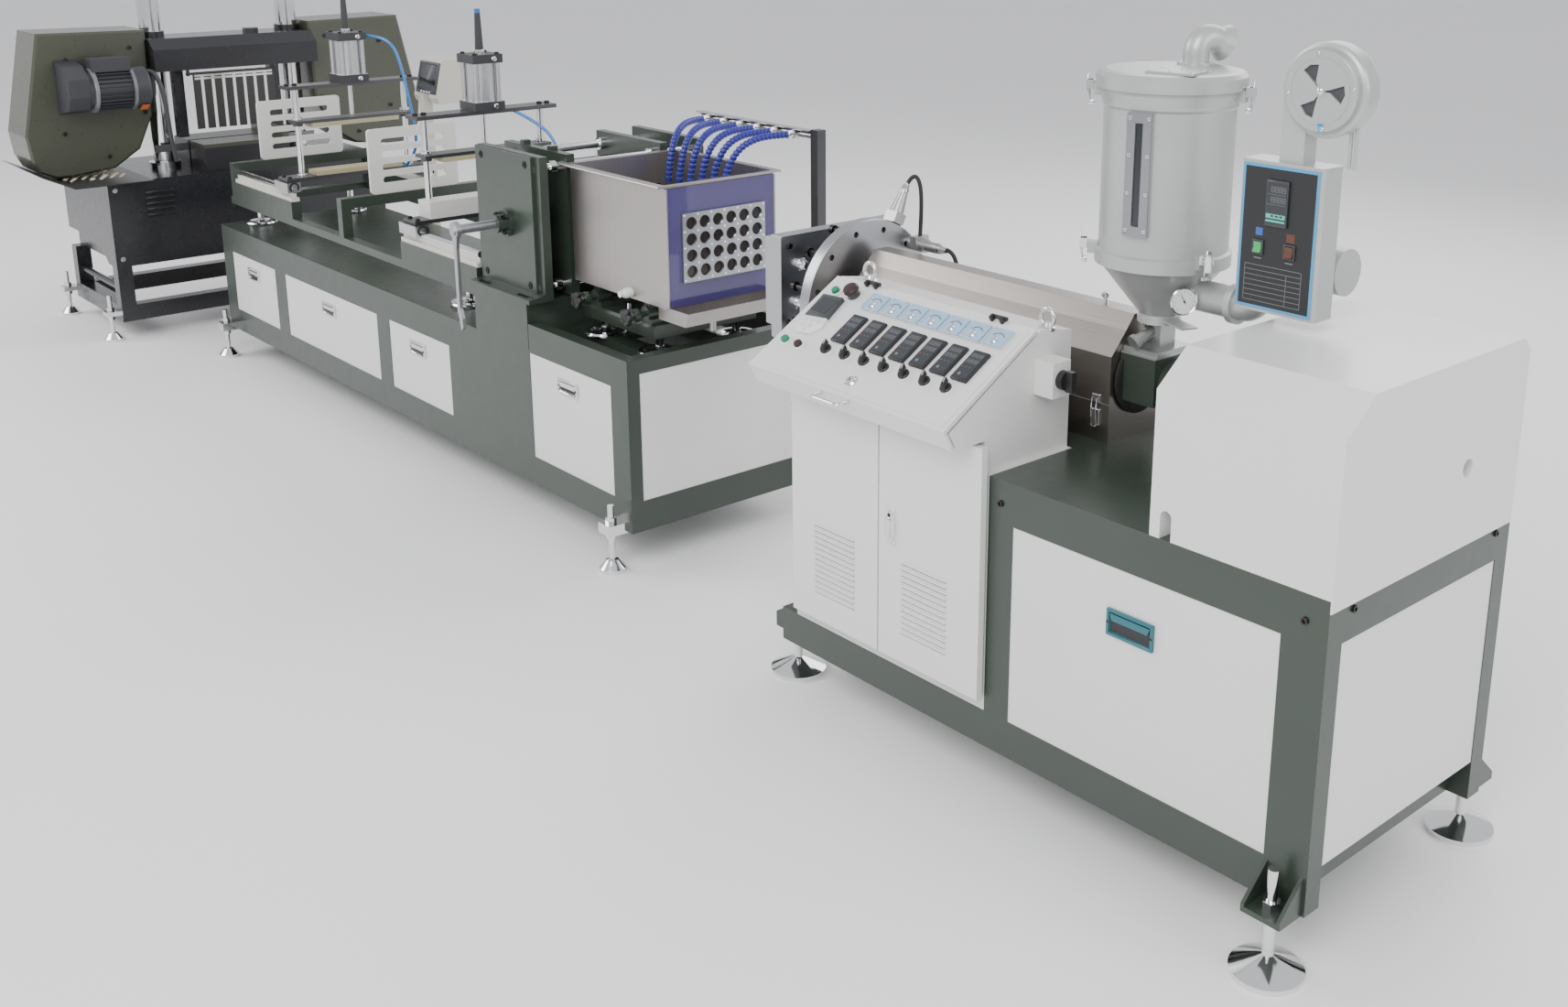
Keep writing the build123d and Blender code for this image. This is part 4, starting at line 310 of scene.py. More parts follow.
rubberBlack = moulded("rubberBlack", (0.012, 0.012, 0.012), rough=0.6)
chipCream = cast("chipCream", (0.62, 0.56, 0.42), rough=0.7)
windowViolet = acrylic("windowViolet", (0.085, 0.07, 0.21), 0.80)
screenDark = acrylic("screenDark", (0.012, 0.016, 0.020), 0.97)

satinDark = ((0.10, 0.10, 0.105), 0.34, 0.8)
satinBright = ((0.55, 0.55, 0.56), 0.3, 0.95)
postChrome = ((0.78, 0.78, 0.79), 0.12, 1.0)
padYellow = ((0.38, 0.34, 0.20), 0.5, 0.0)
riserWhite = ((0.62, 0.61, 0.57), 0.45, 0.0)
sleeveSilver = ((0.46, 0.46, 0.45), 0.34, 0.85)
castDark = ((0.030, 0.032, 0.036), 0.42, 0.0)
silverPaint = ((0.46, 0.47, 0.46), 0.36, 0.45)
greenPaint = ((0.028, 0.041, 0.030), 0.4, 0.0)
deskPaint = ((0.72, 0.72, 0.70), 0.34, 0.0)
handleBlack = ((0.03, 0.03, 0.03), 0.5, 0.0)
pipeSteel = ((0.50, 0.49, 0.48), 0.3, 0.95)
dryerSilver = zoned("dryerSilver", silverPaint)
lineY = sum(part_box("tank_hole_plate")[corner].y for corner in (0, 1)) / 2
hopperX = sum(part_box("hopper_lid")[corner].x for corner in (0, 1)) / 2


def between(made, axis, low, high):
    return (made.along(axis) > low) * (made.along(axis) < high)


def aside(made, out):
    return abs(made.along("Y") - lineY) > out


def carriageFinish(name, padTop, pad, padHalf):
    return zoned(
        name, satinDark,
        (satinBright, lambda made: made.along("Z") < 0.8665),
        (postChrome, lambda made: between(made, "Z", 0.882, 1.240) * aside(made, 0.15)),
        (pad, lambda made: between(made, "Z", 0.8815, padTop) * (1 - aside(made, padHalf))),
    )


def clampFinish(name):
    return zoned(
        name, satinDark,
        (padYellow, lambda made: (made.along("Z") < 1.0995) * (1 - aside(made, 0.195))),
        (postChrome, lambda made: made.along("Z") > 1.114),
    )


def cylinderFinish(name, tip):
    return zoned(
        name, satinBright,
        (castDark, lambda made: made.along("Z") < 1.2865),
        (castDark, lambda made: made.along("Z") > 1.4265),
        (tip, lambda made: made.along("Z") > 1.604),
    )


def farFromHopper(made):
    x, y = made.along("X") - hopperX, made.along("Y") - lineY
    return (x * x + y * y > 0.1582 ** 2) * between(made, "Z", 1.31, 1.60)


nodeFinish = {
    frameGreen: (
        "extruder_frame", "bench_frame", "tank_slide", "puller_frame", "press_plates", "press_platen"
    ),
    panelWhite: (
        "extruder_panels", "bench_panels", "drive_housing", "console_lid", "cabinet_door_left",
        "cabinet_door_right",
    ),
    cabinetGrey: ("control_cabinet",),
    satinSteel: ("barrel_cover",),
    tankSteel: ("tank_shell",),
    plateSteel: ("die_flange", "die_block", "tank_hole_plate", "press_screw"),
    darkSteel: ("sizing_block", "saw_blade"),
    chrome: ("extruder_feet", "bench_feet", "tie_rods", "saw_feet", "saw_columns", "deck_feet"),
    blackPlastic: ("console_instruments", "main_switch_knob"),
    whitePlastic: ("slotted_plates",),
    hoseBlue: ("coolant_hoses",),
    windowViolet: ("tank_window",),
    creamPaint: ("hmi_box",),
    sawBlack: ("saw_body", "saw_stand", "saw_beam"),
    sawOlive: ("saw_wheel_covers",),
    curtainStrip: ("saw_curtain",),
    motorGrey: ("saw_motor",),
    blackSteel: ("die_bolts",),
    dryerSilver: ("hopper_cone", "hopper_lid", "dryer_box", "dryer_blower", "hot_air_pipe"),
    zoned("hopperSilver", silverPaint, (((0.33, 0.34, 0.36), 0.3, 0.9), farFromHopper)): ("hopper_body",),
    zoned("barrelParts", greenPaint, (satinDark, lambda made: made.along("X") < -1.70)): ("barrel",),
    zoned(
        "throat", ((0.40, 0.41, 0.40), 0.34, 0.8),
        (greenPaint, lambda made: made.along("Z") < 1.018),
    ): ("feed_throat",),
    zoned("deskWhite", deskPaint, (postChrome, lambda made: made.along("Z") > 1.1035)): (
        "control_console",
    ),
    zoned("handleChrome", postChrome, (handleBlack, lambda made: made.along("Z") > 1.05)): (
        "lid_fittings",
    ),
    zoned("plugSleeves", sleeveSilver): ("heater_plugs",),
    zoned("manifoldSteel", pipeSteel, (satinDark, lambda made: made.along("X") > -2.506)): ("manifold",),
    zoned(
        "railWhite", ((0.60, 0.58, 0.52), 0.4, 0.1), (postChrome, lambda made: made.along("Z") > 0.8235)
    ): ("guide_rails",),
    zoned(
        "tableBlack", ((0.018, 0.018, 0.020), 0.32, 0.0),
        (
            ((0.056, 0.060, 0.040), 0.34, 0.0),
            lambda made: (made.along("Z") > 0.845) * (made.along("Y") > 0.2)
        ),
    ): ("saw_table",),
    carriageFinish("carriageFront", 0.9, padYellow, 0.2): ("carriage_1",),
    carriageFinish("carriageBack", 0.944, riserWhite, 0.262): ("carriage_2",),
    clampFinish("clampFront"): ("clamp_1",),
    clampFinish("clampBack"): ("clamp_2",),
    cylinderFinish("cylinderFront", castDark): ("cylinder_1",),
    cylinderFinish("cylinderBack", ((0.03, 0.12, 0.45), 0.3, 0.0)): ("cylinder_2",),
}
print("finishes made:", len(bpy.data.materials))


def dressNodes():
    for finish, names in nodeFinish.items():
        for name in names:
            nodes[name].data.materials.clear()
            nodes[name].data.materials.append(finish)
    bare = [name for name in nodes if not any(name in names for names in nodeFinish.values())]
    print("nodes dressed, without a finish:", bare)


def facing(origin, outward, up=(0, 0, 1)):  # a frame whose Z points out of a surface and whose Y points up
    z = Vector(outward).normalized()
    x = Vector(up).cross(z).normalized()
    return Matrix.Translation(origin) @ Matrix((x, z.cross(x), z)).transposed().to_4x4()


def moved(x, y, z=0.0, turn=0.0):  # a place in the frame of a piece, turned about its Z in degrees
    return Matrix.Translation((x, y, z)) @ Matrix.Rotation(math.radians(turn), 4, "Z")


def soften(part, soft, segments=2):
    if soft:
        bmesh.ops.bevel(
            part, geom=part.edges[:], offset=soft, affect="EDGES", segments=segments, profile=0.5, material=-1
        )
    return part


def cuboid(width, length, height, soft=0.0, segments=2):  # stands on its local ground
    part = bmesh.new()
    bmesh.ops.create_cube(part, size=1)
    bmesh.ops.scale(part, vec=(width, length, height), verts=part.verts)
    bmesh.ops.translate(part, vec=(0, 0, height / 2), verts=part.verts)
    return soften(part, soft, segments)


def lathe(profile, steps=24):  # (radius, height) points turned about the local Z
    part = bmesh.new()
    points = [part.verts.new((radius, 0, height)) for radius, height in profile]
    edges = [part.edges.new(pair) for pair in zip(points, points[1:])]
    bmesh.ops.spin(
        part, geom=points + edges, axis=(0, 0, 1), cent=(0, 0, 0), angle=math.tau, steps=steps, use_merge=True
    )
    bmesh.ops.remove_doubles(part, verts=part.verts, dist=1e-6)
    bmesh.ops.dissolve_degenerate(part, edges=part.edges, dist=1e-7)
    return part


def disc(radius, height, steps=24):
    return lathe([(0, 0), (radius, 0), (radius, height), (0, height)], steps)


def ring(inner, outer, low, high, steps=24):
    return lathe([(inner, low), (outer, low), (outer, high), (inner, high), (inner, low)], steps)


def slab(outline, height, soft=0.0, segments=2):  # a flat outline given a thickness
    part = bmesh.new()
    face = part.faces.new([part.verts.new((x, y, 0)) for x, y in outline])
    made = bmesh.ops.extrude_face_region(part, geom=[face], use_keep_orig=True)
    lifted = [item for item in made["geom"] if isinstance(item, bmesh.types.BMVert)]
    bmesh.ops.translate(part, vec=(0, 0, height), verts=lifted)
    bmesh.ops.recalc_face_normals(part, faces=part.faces)
    return soften(part, soft, segments)


def tray(width, length, height, rim, depth, soft=0.0):  # a block with its top sunk inside a rim
    part = cuboid(width, length, height)
    top = max(part.faces, key=lambda face: face.calc_center_median().z)
    for thickness in (rim, 0.0006):
        bmesh.ops.inset_region(part, faces=[top], thickness=thickness, use_even_offset=True)
    bmesh.ops.translate(part, vec=(0, 0, -depth), verts=top.verts)
    return soften(part, soft, 1)


def arc(radius, width, height, start, sweep, steps=14):  # a raised bow, such as a dial's scale
    part = bmesh.new()
    section = ((-width / 2, 0), (width / 2, 0), (width / 2, height), (-width / 2, height))
    face = part.faces.new([part.verts.new((radius + out, 0, up)) for out, up in section])
    bmesh.ops.spin(
        part, geom=[face], axis=(0, 0, 1), cent=(0, 0, 0), angle=math.radians(sweep), steps=steps,
        use_merge=False
    )
    part.transform(Matrix.Rotation(math.radians(start), 4, "Z"))
    return part


def pipe(points, radius, sides=3, smooth=6):  # a round tube on a smooth line
    curve = bpy.data.curves.new("route", "CURVE")
    curve.dimensions = "3D"
    spline = curve.splines.new("NURBS")
    spline.points.add(len(points) - 1)
    for knot, point in zip(spline.points, points):
        knot.co = (*point, 1)
    spline.order_u = 3
    spline.use_endpoint_u = True
    spline.resolution_u = smooth
    curve.bevel_depth = radius
    curve.bevel_resolution = sides
    curve.use_fill_caps = True
    holder = bpy.data.objects.new("route", curve)
    mesh = bpy.data.meshes.new_from_object(holder)
    part = bmesh.new()
    part.from_mesh(mesh)
    bmesh.ops.remove_doubles(part, verts=part.verts, dist=1e-6)
    bpy.data.objects.remove(holder)
    bpy.data.curves.remove(curve)
    bpy.data.meshes.remove(mesh)
    return part


class Piece:  # one object in the making, out of parts that each have a finish and a place
    def __init__(self, name, body, slot, at=Matrix()):
        self.name, self.body, self.slot, self.at = name, body, slot, at.copy()
        self.bm = bmesh.new()
        self.finishes = []

    def add(self, part, finish, at=Matrix()):
        if finish not in self.finishes:
            self.finishes.append(finish)
        bmesh.ops.recalc_face_normals(part, faces=part.faces)
        for face in part.faces:
            face.material_index = self.finishes.index(finish)
            face.smooth = True
        part.transform(self.at @ at)
        store = bpy.data.meshes.new("part")
        part.to_mesh(store)
        part.free()
        self.bm.from_mesh(store)
        bpy.data.meshes.remove(store)

    def done(self, *replaced, sharp=32):
        mesh = bpy.data.meshes.new(self.name)
        self.bm.to_mesh(mesh)
        self.bm.free()
        for finish in self.finishes:
            mesh.materials.append(finish)
        mesh.set_sharp_from_angle(angle=math.radians(sharp))
        made = bpy.data.objects.new(self.name, mesh)
        bpy.context.scene.collection.objects.link(made)
        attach(made, self.body)
        if replaced:
            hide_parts(*replaced)
        print("made", self.name, len(mesh.polygons), "faces")
        return made


def domeHead(radius, height, steps=16):
    return lathe(
        [(0, 0), (radius, 0), (radius * 0.96, height * 0.4), (radius * 0.62, height * 0.86), (0, height)],
        steps
    )


def socketHead(radius, height, steps=18):  # a socket screw with its hexagon drowned in the head
    rim = radius * 0.55
    return lathe(
        [(0, 0), (radius, 0), (radius, height * 0.9), (radius * 0.9, height), (rim, height),
         (rim, height * 0.4), (0, height * 0.4)], steps
    )


def hexHead(radius, height):
    outline = [
        (radius * math.cos(math.radians(60 * k)), radius * math.sin(math.radians(60 * k))) for k in range(6)
    ]
    return slab(outline, height, soft=height * 0.12, segments=1)


def digitPair(piece, finish, at, size, count=4):  # dim "8" digits of a panel meter, without lettering
    width, length = size
    stroke, lift = width * 0.16, 0.0004
    for index in range(count):
        left = index * width * 1.5
        for row in (0, length / 2, length):
            piece.add(cuboid(width, stroke, lift), finish, at @ moved(left, row))
        for side in (-width / 2, width / 2):
            for row in (length / 4, 3 * length / 4):
                piece.add(cuboid(stroke, length * 0.42, lift), finish, at @ moved(left + side, row))


desk = {  # the sloping panel, in metres along it (u) and up it (v)
    "foot": (-1.560, -0.133, 0.928),
    "slope": math.atan2(0.175, 0.290),
    "panel": (0.680, 0.3387),
    "margin": 0.012,
    "count": 7,
    "pitch": 0.068,
    "meter": {"place": (0.204, 0.281), "size": (0.062, 0.056, 0.011), "scale": 0.021, "bulge": 0.0095},
    "controller": {"place": (0.200, 0.184), "size": (0.050, 0.094, 0.009), "digit": (0.0058, 0.0100)},
    "switch": {"place": (0.187, 0.109), "plate": 0.019, "knob": 0.0145, "turn": 25},
    "buttons": ((0.053, 0.284, "green"), (0.049, 0.097, "green"), (0.100, 0.095, "dark")),
    "lock": (0.338, 0.046),
    "stop": (0.112, 0.290),
    "clips": (0.137, 0.566),
    "screenHood": ((0.030, 0.262), (0.102, 0.266), (0.110, 0.192), (0.036, 0.184)),
    "keyPlate": (
        (0.036, 0.186), (0.110, 0.194), (0.118, 0.165), (0.098, 0.134), (0.054, 0.130), (0.032, 0.152)
    ),
    "keys": (
        (0.052, 0.172), (0.074, 0.174), (0.096, 0.176), (0.060, 0.153), (0.083, 0.156), (0.074, 0.141)
    ),
    "bolts": ((-1.498, 0.212, 1.0895), (-0.898, 0.212, 1.0895)),
}


def makeDeskPanel():
    sine, cosine = math.sin(desk["slope"]), math.cos(desk["slope"])
    panel = Piece(
        "desk_panel", "console_lid_body", "instrument_plastic", facing(
            desk["foot"], (0, -sine, cosine), (0, cosine, sine)
        )
    )
    width, length = desk["panel"]
    margin = desk["margin"]
    panel.add(
        cuboid(width - 2 * margin, length - 2 * margin, 0.002, 0.0008, 1), panelWhite, moved(
            width / 2, length / 2
        )
    )
    for index in range(desk["count"]):
        step = index * desk["pitch"]
        addMeter(panel, step)
        addController(panel, step)
        addSwitch(panel, step)
    for u, v, colour in desk["buttons"]:
        cap = buttonGreen if colour == "green" else stopBrown
        panel.add(
            lathe([(0, 0), (0.0155, 0), (0.0155, 0.004), (0.0135, 0.006), (0.0112, 0.006), (0, 0.006)]),
            keyWhite, moved(u, v, 0.002)
        )
        panel.add(
            lathe([(0, 0), (0.0108, 0), (0.0108, 0.010), (0.0095, 0.0125), (0, 0.0135)]), cap,
            moved(u, v, 0.004)
        )
    u, v = desk["lock"]
    panel.add(
        lathe([(0, 0), (0.0165, 0), (0.0165, 0.002), (0.012, 0.005), (0.0095, 0.009), (0, 0.009)]), chrome,
        moved(u, v, 0.002)
    )
    panel.add(cuboid(0.0022, 0.009, 0.0095), blackPlastic, moved(u, v, 0.002, 20))
    u, v = desk["stop"]
    panel.add(
        lathe([(0, 0), (0.017, 0), (0.017, 0.004), (0.014, 0.006), (0.013, 0.018), (0, 0.018)]),
        greyPlastic, moved(u, v, 0.002)
    )
    panel.add(
        lathe(
            [(0, 0.016), (0.016, 0.016), (0.0205, 0.020), (0.0205, 0.026), (0.017, 0.031), (0.009, 0.0325),
            (0, 0.0328)], 32
        ),
        stopBrown, moved(u, v, 0.0),
    )
    panel.add(slab(desk["screenHood"], 0.013, 0.0022, 2), greyPlastic, moved(0, 0, 0.001))
    panel.add(cuboid(0.056, 0.052, 0.0012, 0.0005, 1), screenDark, moved(0.0695, 0.228, 0.0137, -2.5))
    panel.add(slab(desk["keyPlate"], 0.010, 0.003, 3), keyWhite, moved(0, 0, 0.001))
    for u, v in desk["keys"]:
        panel.add(
            lathe([(0, 0), (0.0062, 0), (0.0062, 0.0016), (0.0052, 0.0024), (0, 0.0026)], 16), whitePlastic,
            moved(u, v, 0.0108)
        )
    for u in desk["clips"]:
        for side in (-0.016, 0.016):
            panel.add(
                cuboid(0.009, 0.014, 0.014, 0.0015, 1), blackPlastic, moved(u + side, length - 0.005, 0.001)
            )
    panel.done("console_instruments")
    eyes = Piece("lifting_eye_collars", "line", "tool_steel")
    for place in desk["bolts"]:
        eyes.add(
            lathe([(0, 0), (0.020, 0), (0.020, 0.006), (0.013, 0.010), (0.0105, 0.018), (0, 0.018)]),
            chrome, moved(*place)
        )
    eyes.done()


def addMeter(panel, step):
    spec = desk["meter"]
    at = moved(spec["place"][0] + step, spec["place"][1], 0.0015)
    width, length, height = spec["size"]
    panel.add(cuboid(width, length, height * 0.55, 0.0015, 1), whitePlastic, at)
    panel.add(tray(width - 0.002, length - 0.002, height, 0.004, 0.0022, 0.0006), meterBlue, at)
    face = at @ moved(0, -0.009, height - 0.0022)
    panel.add(arc(spec["scale"], 0.0011, 0.0006, 38, 104), blackPlastic, face)
    for mark in range(9):
        angle = 38 + mark * 13
        long = 0.0042 if mark % 2 == 0 else 0.0026
        tick = moved(0, 0, 0, angle) @ moved(spec["scale"] + long / 2, 0)
        panel.add(cuboid(long, 0.0007, 0.0006), blackPlastic, face @ tick)
    # the red pointer glows: painted light
    panel.add(cuboid(0.0190, 0.0008, 0.0009), glowRed, face @ moved(0, 0, 0, 128) @ moved(0.0095, 0))
    panel.add(domeHead(spec["bulge"], 0.0065, 20), chrome, face @ moved(0, -0.004))


def addController(panel, step):
    spec = desk["controller"]
    at = moved(spec["place"][0] + step, spec["place"][1], 0.0015)
    width, length, height = spec["size"]
    panel.add(cuboid(width, length, height, 0.0028, 2), blackPlastic, at)
    panel.add(
        cuboid(width - 0.009, length - 0.012, 0.0008, 0.0003, 1), screenDark,
        at @ moved(0, 0, height - 0.0001)
    )
    top = at @ moved(-0.0130, 0, height + 0.0007)
    for row in (0.024, 0.006):
        digitPair(panel, glowGrey, top @ moved(0, row), spec["digit"])
    for index in range(3):
        panel.add(
            cuboid(0.0035, 0.0016, 0.0004), glowRed if index == 0 else glowGrey,
            top @ moved(-0.002 + index * 0.011, -0.008)
        )
    panel.add(
        lathe([(0, 0), (0.0042, 0), (0.0042, 0.0010), (0.0034, 0.0016), (0, 0.0016)], 16), glowGrey,
        top @ moved(0.006, -0.030, -0.0004)
    )
    for index in range(2):
        panel.add(
            cuboid(0.006, 0.0035, 0.001, 0.0004, 1), greyPlastic,
            top @ moved(0.019 + index * 0.009, -0.030, -0.0004)
        )


def addSwitch(panel, step):
    spec = desk["switch"]
    at = moved(spec["place"][0] + step, spec["place"][1], 0.002)
    plate, knob = spec["plate"], spec["knob"]
    panel.add(
        lathe([(0, 0), (plate, 0), (plate, 0.0012), (plate - 0.001, 0.002), (0, 0.002)], 28), keyWhite, at
    )
    panel.add(
        lathe([(0, 0), (knob, 0), (knob, 0.0045), (knob - 0.002, 0.006), (0, 0.006)], 24), blackPlastic,
        at @ moved(0, 0, 0.0015)
    )
    pointer = [
        (-0.0050, -0.016), (0.0050, -0.016), (0.0062, 0.0), (0.0032, 0.019), (-0.0032, 0.019),
        (-0.0062, 0.0)
    ]
    panel.add(slab(pointer, 0.014, 0.0016, 2), blackPlastic, at @ moved(0, 0, 0.006, spec["turn"]))
    panel.add(
        cuboid(0.0012, 0.014, 0.0005), keyWhite, at @ moved(0, 0, 0.006, spec["turn"]) @ moved(0, 0.009,
        0.0140)
    )


doors = {
    "face": -0.025,
    "mids": {"door_left": -1.364, "door_right": -1.045},
    "louvre": {"count": 13, "pitch": 0.015, "bottom": 0.330, "width": 0.154},
    "latch": (-1.1565, 0.597),
}


def makeDoorPressings():
    spec = doors["louvre"]
    for body, mid in doors["mids"].items():
        hoods = Piece("louvres_" + body, body, "white_panel", facing((mid, doors["face"], 0), (0, -1, 0)))
        for step in range(spec["count"]):
            low = spec["bottom"] + step * spec["pitch"] + 0.0035
            hoods.add(
                cuboid(spec["width"], 0.0068, 0.0042, 0.0020, 2), panelWhite,
                moved(0, low + 0.0034, -0.0004)
            )
        hoods.done()
    x, z = doors["latch"]
    latch = Piece(
        "door_latch", "door_right", "foot_chrome", facing((x, doors["face"] - 0.004, z), (0, -1, 0))
    )
    oval = [(0.017 * math.cos(a), 0.042 * math.sin(a)) for a in (math.tau * k / 20 for k in range(20))]
    latch.add(slab(oval, 0.004, 0.0012, 2), chrome)
    latch.add(cuboid(0.013, 0.050, 0.006, 0.0022, 2), chrome, moved(0, -0.004, 0.003))
    latch.add(domeHead(0.0055, 0.003), blackSteel, moved(0, 0.029, 0.0035))
    latch.done()


pulls = {
    "teal": {"place": (-0.4545, 0.002, 0.578), "size": (0.122, 0.060, 0.008)},
    "chromed": ((-5.351, 0.420), (-4.594, 0.416), (-3.836, 0.419), (-2.804, 0.516)),
    "chromedSize": (0.112, 0.048, 0.008),
    "benchFace": 0.107,
    "blackScrews": ((0.0, 0.081, 0.762), (0.0, 0.619, 0.764)),
}


def addPull(piece, finish, recessShade, size):
    width, length, height = size
    piece.add(tray(width, length, height, 0.007, 0.006, 0.0012), finish)
    # a dark sheet on the floor of the recess is painted shade
    piece.add(cuboid(width - 0.018, length - 0.020, 0.0012), recessShade, moved(0, -0.001, height - 0.0058))
    lip = [(-width / 2 + 0.008, length / 2 - 0.010), (width / 2 - 0.008, length / 2 - 0.010)]
    lip += [(width / 2 - 0.014, length / 2 - 0.026), (-width / 2 + 0.014, length / 2 - 0.026)]
    piece.add(slab(lip, 0.003, 0.001, 1), finish, moved(0, 0, height - 0.0035))
    for side in (-1, 1):
        piece.add(
            domeHead(0.0032, 0.0015, 12), blackSteel, moved(side * (width / 2 - 0.0038), 0, height - 0.0002)
        )


def makePulls():
    spec = pulls["teal"]
    teal = Piece("panel_pull_teal", "line", "black_plastic", facing(spec["place"], (0, -1, 0)))
    addPull(teal, tealPlastic, blackPlastic, spec["size"])
    teal.done()
    for index, (x, z) in enumerate(pulls["chromed"]):
        pull = Piece(
            f"bench_pull_{index + 1}", "line", "foot_chrome", facing((x, pulls["benchFace"], z), (0, -1, 0))
        )
        addPull(pull, chrome, blackSteel, pulls["chromedSize"])
        pull.done()
    screws = Piece("frame_screws", "line", "tool_steel")
    for place in pulls["blackScrews"]:
        screws.add(socketHead(0.0075, 0.005), blackSteel, facing(place, (1, 0, 0)))
    for place in ((-0.05, 0.0, 0.745), (-0.828, 0.0, 0.745)):
        screws.add(socketHead(0.0075, 0.005), blackSteel, facing(place, (0, -1, 0)))
    screws.done()


hopper = {
    "sight": {"turn": -76, "z": (1.318, 1.590), "face": 0.161, "slot": (0.017, 0.226)},
    "clamps": ((-140, 1.249), (-20, 1.249), (100, 1.249), (-150, 1.607), (20, 1.607)),
    "clampFace": 0.171,
    "dial": {"turn": -30, "reach": 0.128, "z": 1.172, "radius": 0.031},
    "flap": {"place": (0.066, -0.070), "turn": 14, "size": (0.112, 0.084), "top": 1.677},
    "elbow": {"place": (-0.017, 0.107), "circle": 0.0365, "top": 1.678},
}


def aroundHopper(turn, radius, z):
    angle = math.radians(turn)
    outward = (math.cos(angle), math.sin(angle), 0)
    return facing((hopperX + radius * outward[0], lineY + radius * outward[1], z), outward)


def makeHopperFittings():
    spec = hopper["sight"]
    low, high = spec["z"]
    at = aroundHopper(spec["turn"], spec["face"], (low + high) / 2)
    sight = Piece("sight_glass", "line", "clear_window", at)
    width, length = spec["slot"]
    outline = [
        (width / 2 * math.cos(a),
        length / 2 - width / 2 + width / 2 * math.sin(a)) for a in (math.pi * k / 8 for k in range(9))
    ]
    outline += [(-x, -y) for x, y in outline]
    # the nearly opaque dark glass is partly the glass itself and partly painted shade of the hopper's inside
    sight.add(slab(outline, 0.0012), screenDark, moved(0, 0, -0.0056))
    rim = [(x * 1.28, y * 1.022) for x, y in outline]
    sight.add(slab(rim, 0.0008, 0.0003, 1), greyPlastic, moved(0, 0, -0.0066))
    for side in (-0.022, 0.022):
        for row in (-0.124, -0.042, 0.042, 0.124):
            sight.add(domeHead(0.0052, 0.0034), chrome, moved(side, row))
            sight.add(cuboid(0.0066, 0.001, 0.0008), blackSteel, moved(side, row, 0.0030, 35))
    sight.done()
    clamps = Piece("toggle_clamps", "line", "foot_chrome")
    for turn, z in hopper["clamps"]:
        at = aroundHopper(turn, hopper["clampFace"], z + 0.013)
        clamps.add(cuboid(0.030, 0.022, 0.003, 0.001, 1), chrome, at @ moved(0, 0.010))
        for side in (-0.0105, 0.0105):
            clamps.add(cuboid(0.002, 0.022, 0.016, 0.0006, 1), chrome, at @ moved(side, 0.010, 0.002))
            clamps.add(
                pipe([(side * 0.7, 0.010, 0.012), (side * 0.7, -0.014, 0.013), (side * 0.6, -0.030, 0.010)],
                0.0017, 2, 3), chrome, at
            )
        clamps.add(
            slab([(-0.008, -0.016), (0.008, -0.016), (0.010, 0.018), (0.006, 0.034), (-0.006, 0.034),
            (-0.010, 0.018)], 0.003, 0.001, 1), chrome, at @ moved(0, 0, 0.014)
        )
        pin = at @ moved(-0.0125, 0.010, 0.012) @ Matrix.Rotation(math.pi / 2, 4, "Y")
        clamps.add(disc(0.003, 0.025, 12), chrome, pin)
        clamps.add(cuboid(0.022, 0.010, 0.012, 0.002, 2), chrome, at @ moved(0, -0.030, 0.0))
    clamps.done()
    spec = hopper["dial"]
    at = aroundHopper(spec["turn"], spec["reach"] - 0.006, spec["z"])
    radius = spec["radius"]
    dial = Piece("dial_thermometer", "line", "foot_chrome", at)
    dial.add(
        lathe([(0, 0), (0.012, 0), (0.020, 0.004), (radius, 0.007), (radius + 0.0015, 0.016),
        (radius - 0.001, 0.0185), (radius - 0.003, 0.017), (0, 0.017)], 36), chrome
    )
    dial.add(
        lathe([(0, 0.0166), (radius - 0.0032, 0.0166), (radius - 0.0032, 0.0174), (0, 0.0174)], 36),
        keyWhite
    )
    for mark in range(13):
        tick = moved(0, 0, 0, -45 + mark * 22.5) @ moved(radius - 0.0085, 0, 0.0173)
        dial.add(cuboid(0.005 if mark % 2 == 0 else 0.003, 0.0009, 0.0004), blackPlastic, tick)
    dial.add(
        slab([(-0.0009, -0.006), (0.0009, -0.006), (0.0004, 0.020), (-0.0004, 0.020)], 0.0006),
        blackPlastic, moved(0, 0, 0.0179, 28)
    )
    dial.add(domeHead(0.0026, 0.0018, 12), blackPlastic, moved(0, 0, 0.0176))
    dial.done()
    screws = Piece("hopper_lid_screws", "line", "foot_chrome")
    flap = hopper["flap"]
    at = moved(hopperX + flap["place"][0], lineY + flap["place"][1], flap["top"], flap["turn"])
    width, length = flap["size"]
    for x in (-1, 0, 1):
        for y in (-1, 1):
            screws.add(
                domeHead(0.0045, 0.003, 12), chrome,
                at @ moved(x * (width / 2 - 0.008), y * (length / 2 - 0.008))
            )
    elbow = hopper["elbow"]
    for index in range(6):
        at = moved(hopperX + elbow["place"][0], lineY + elbow["place"][1], elbow["top"], 30 + 60 * index)
        screws.add(domeHead(0.0042, 0.003, 12), chrome, at @ moved(elbow["circle"], 0))
    screws.done()


dryer = {
    "panel": {"x": (-0.478, -0.297), "z": (1.215, 1.517), "face": 0.328},
    "border": 0.0062,
    "controller": (0.062, 0.178, 0.052, 0.096),
    "squares": ((0.040, 0.155, 0.017, 0.016, "blue"), (0.114, 0.150, 0.020, 0.018, "brown")),
    "rockers": ((0.035, 0.115, 0.026, 0.031, "green"), (0.110, 0.115, 0.027, 0.031, "brown")),
    "table": (0.0186, 0.016, 0.1362, 0.076),
    "rows": 7,
    "column": 0.101,
    "blower": {"centre": (-0.312, 0.324, 1.676), "disc": 0.066, "screws": 0.078},
}


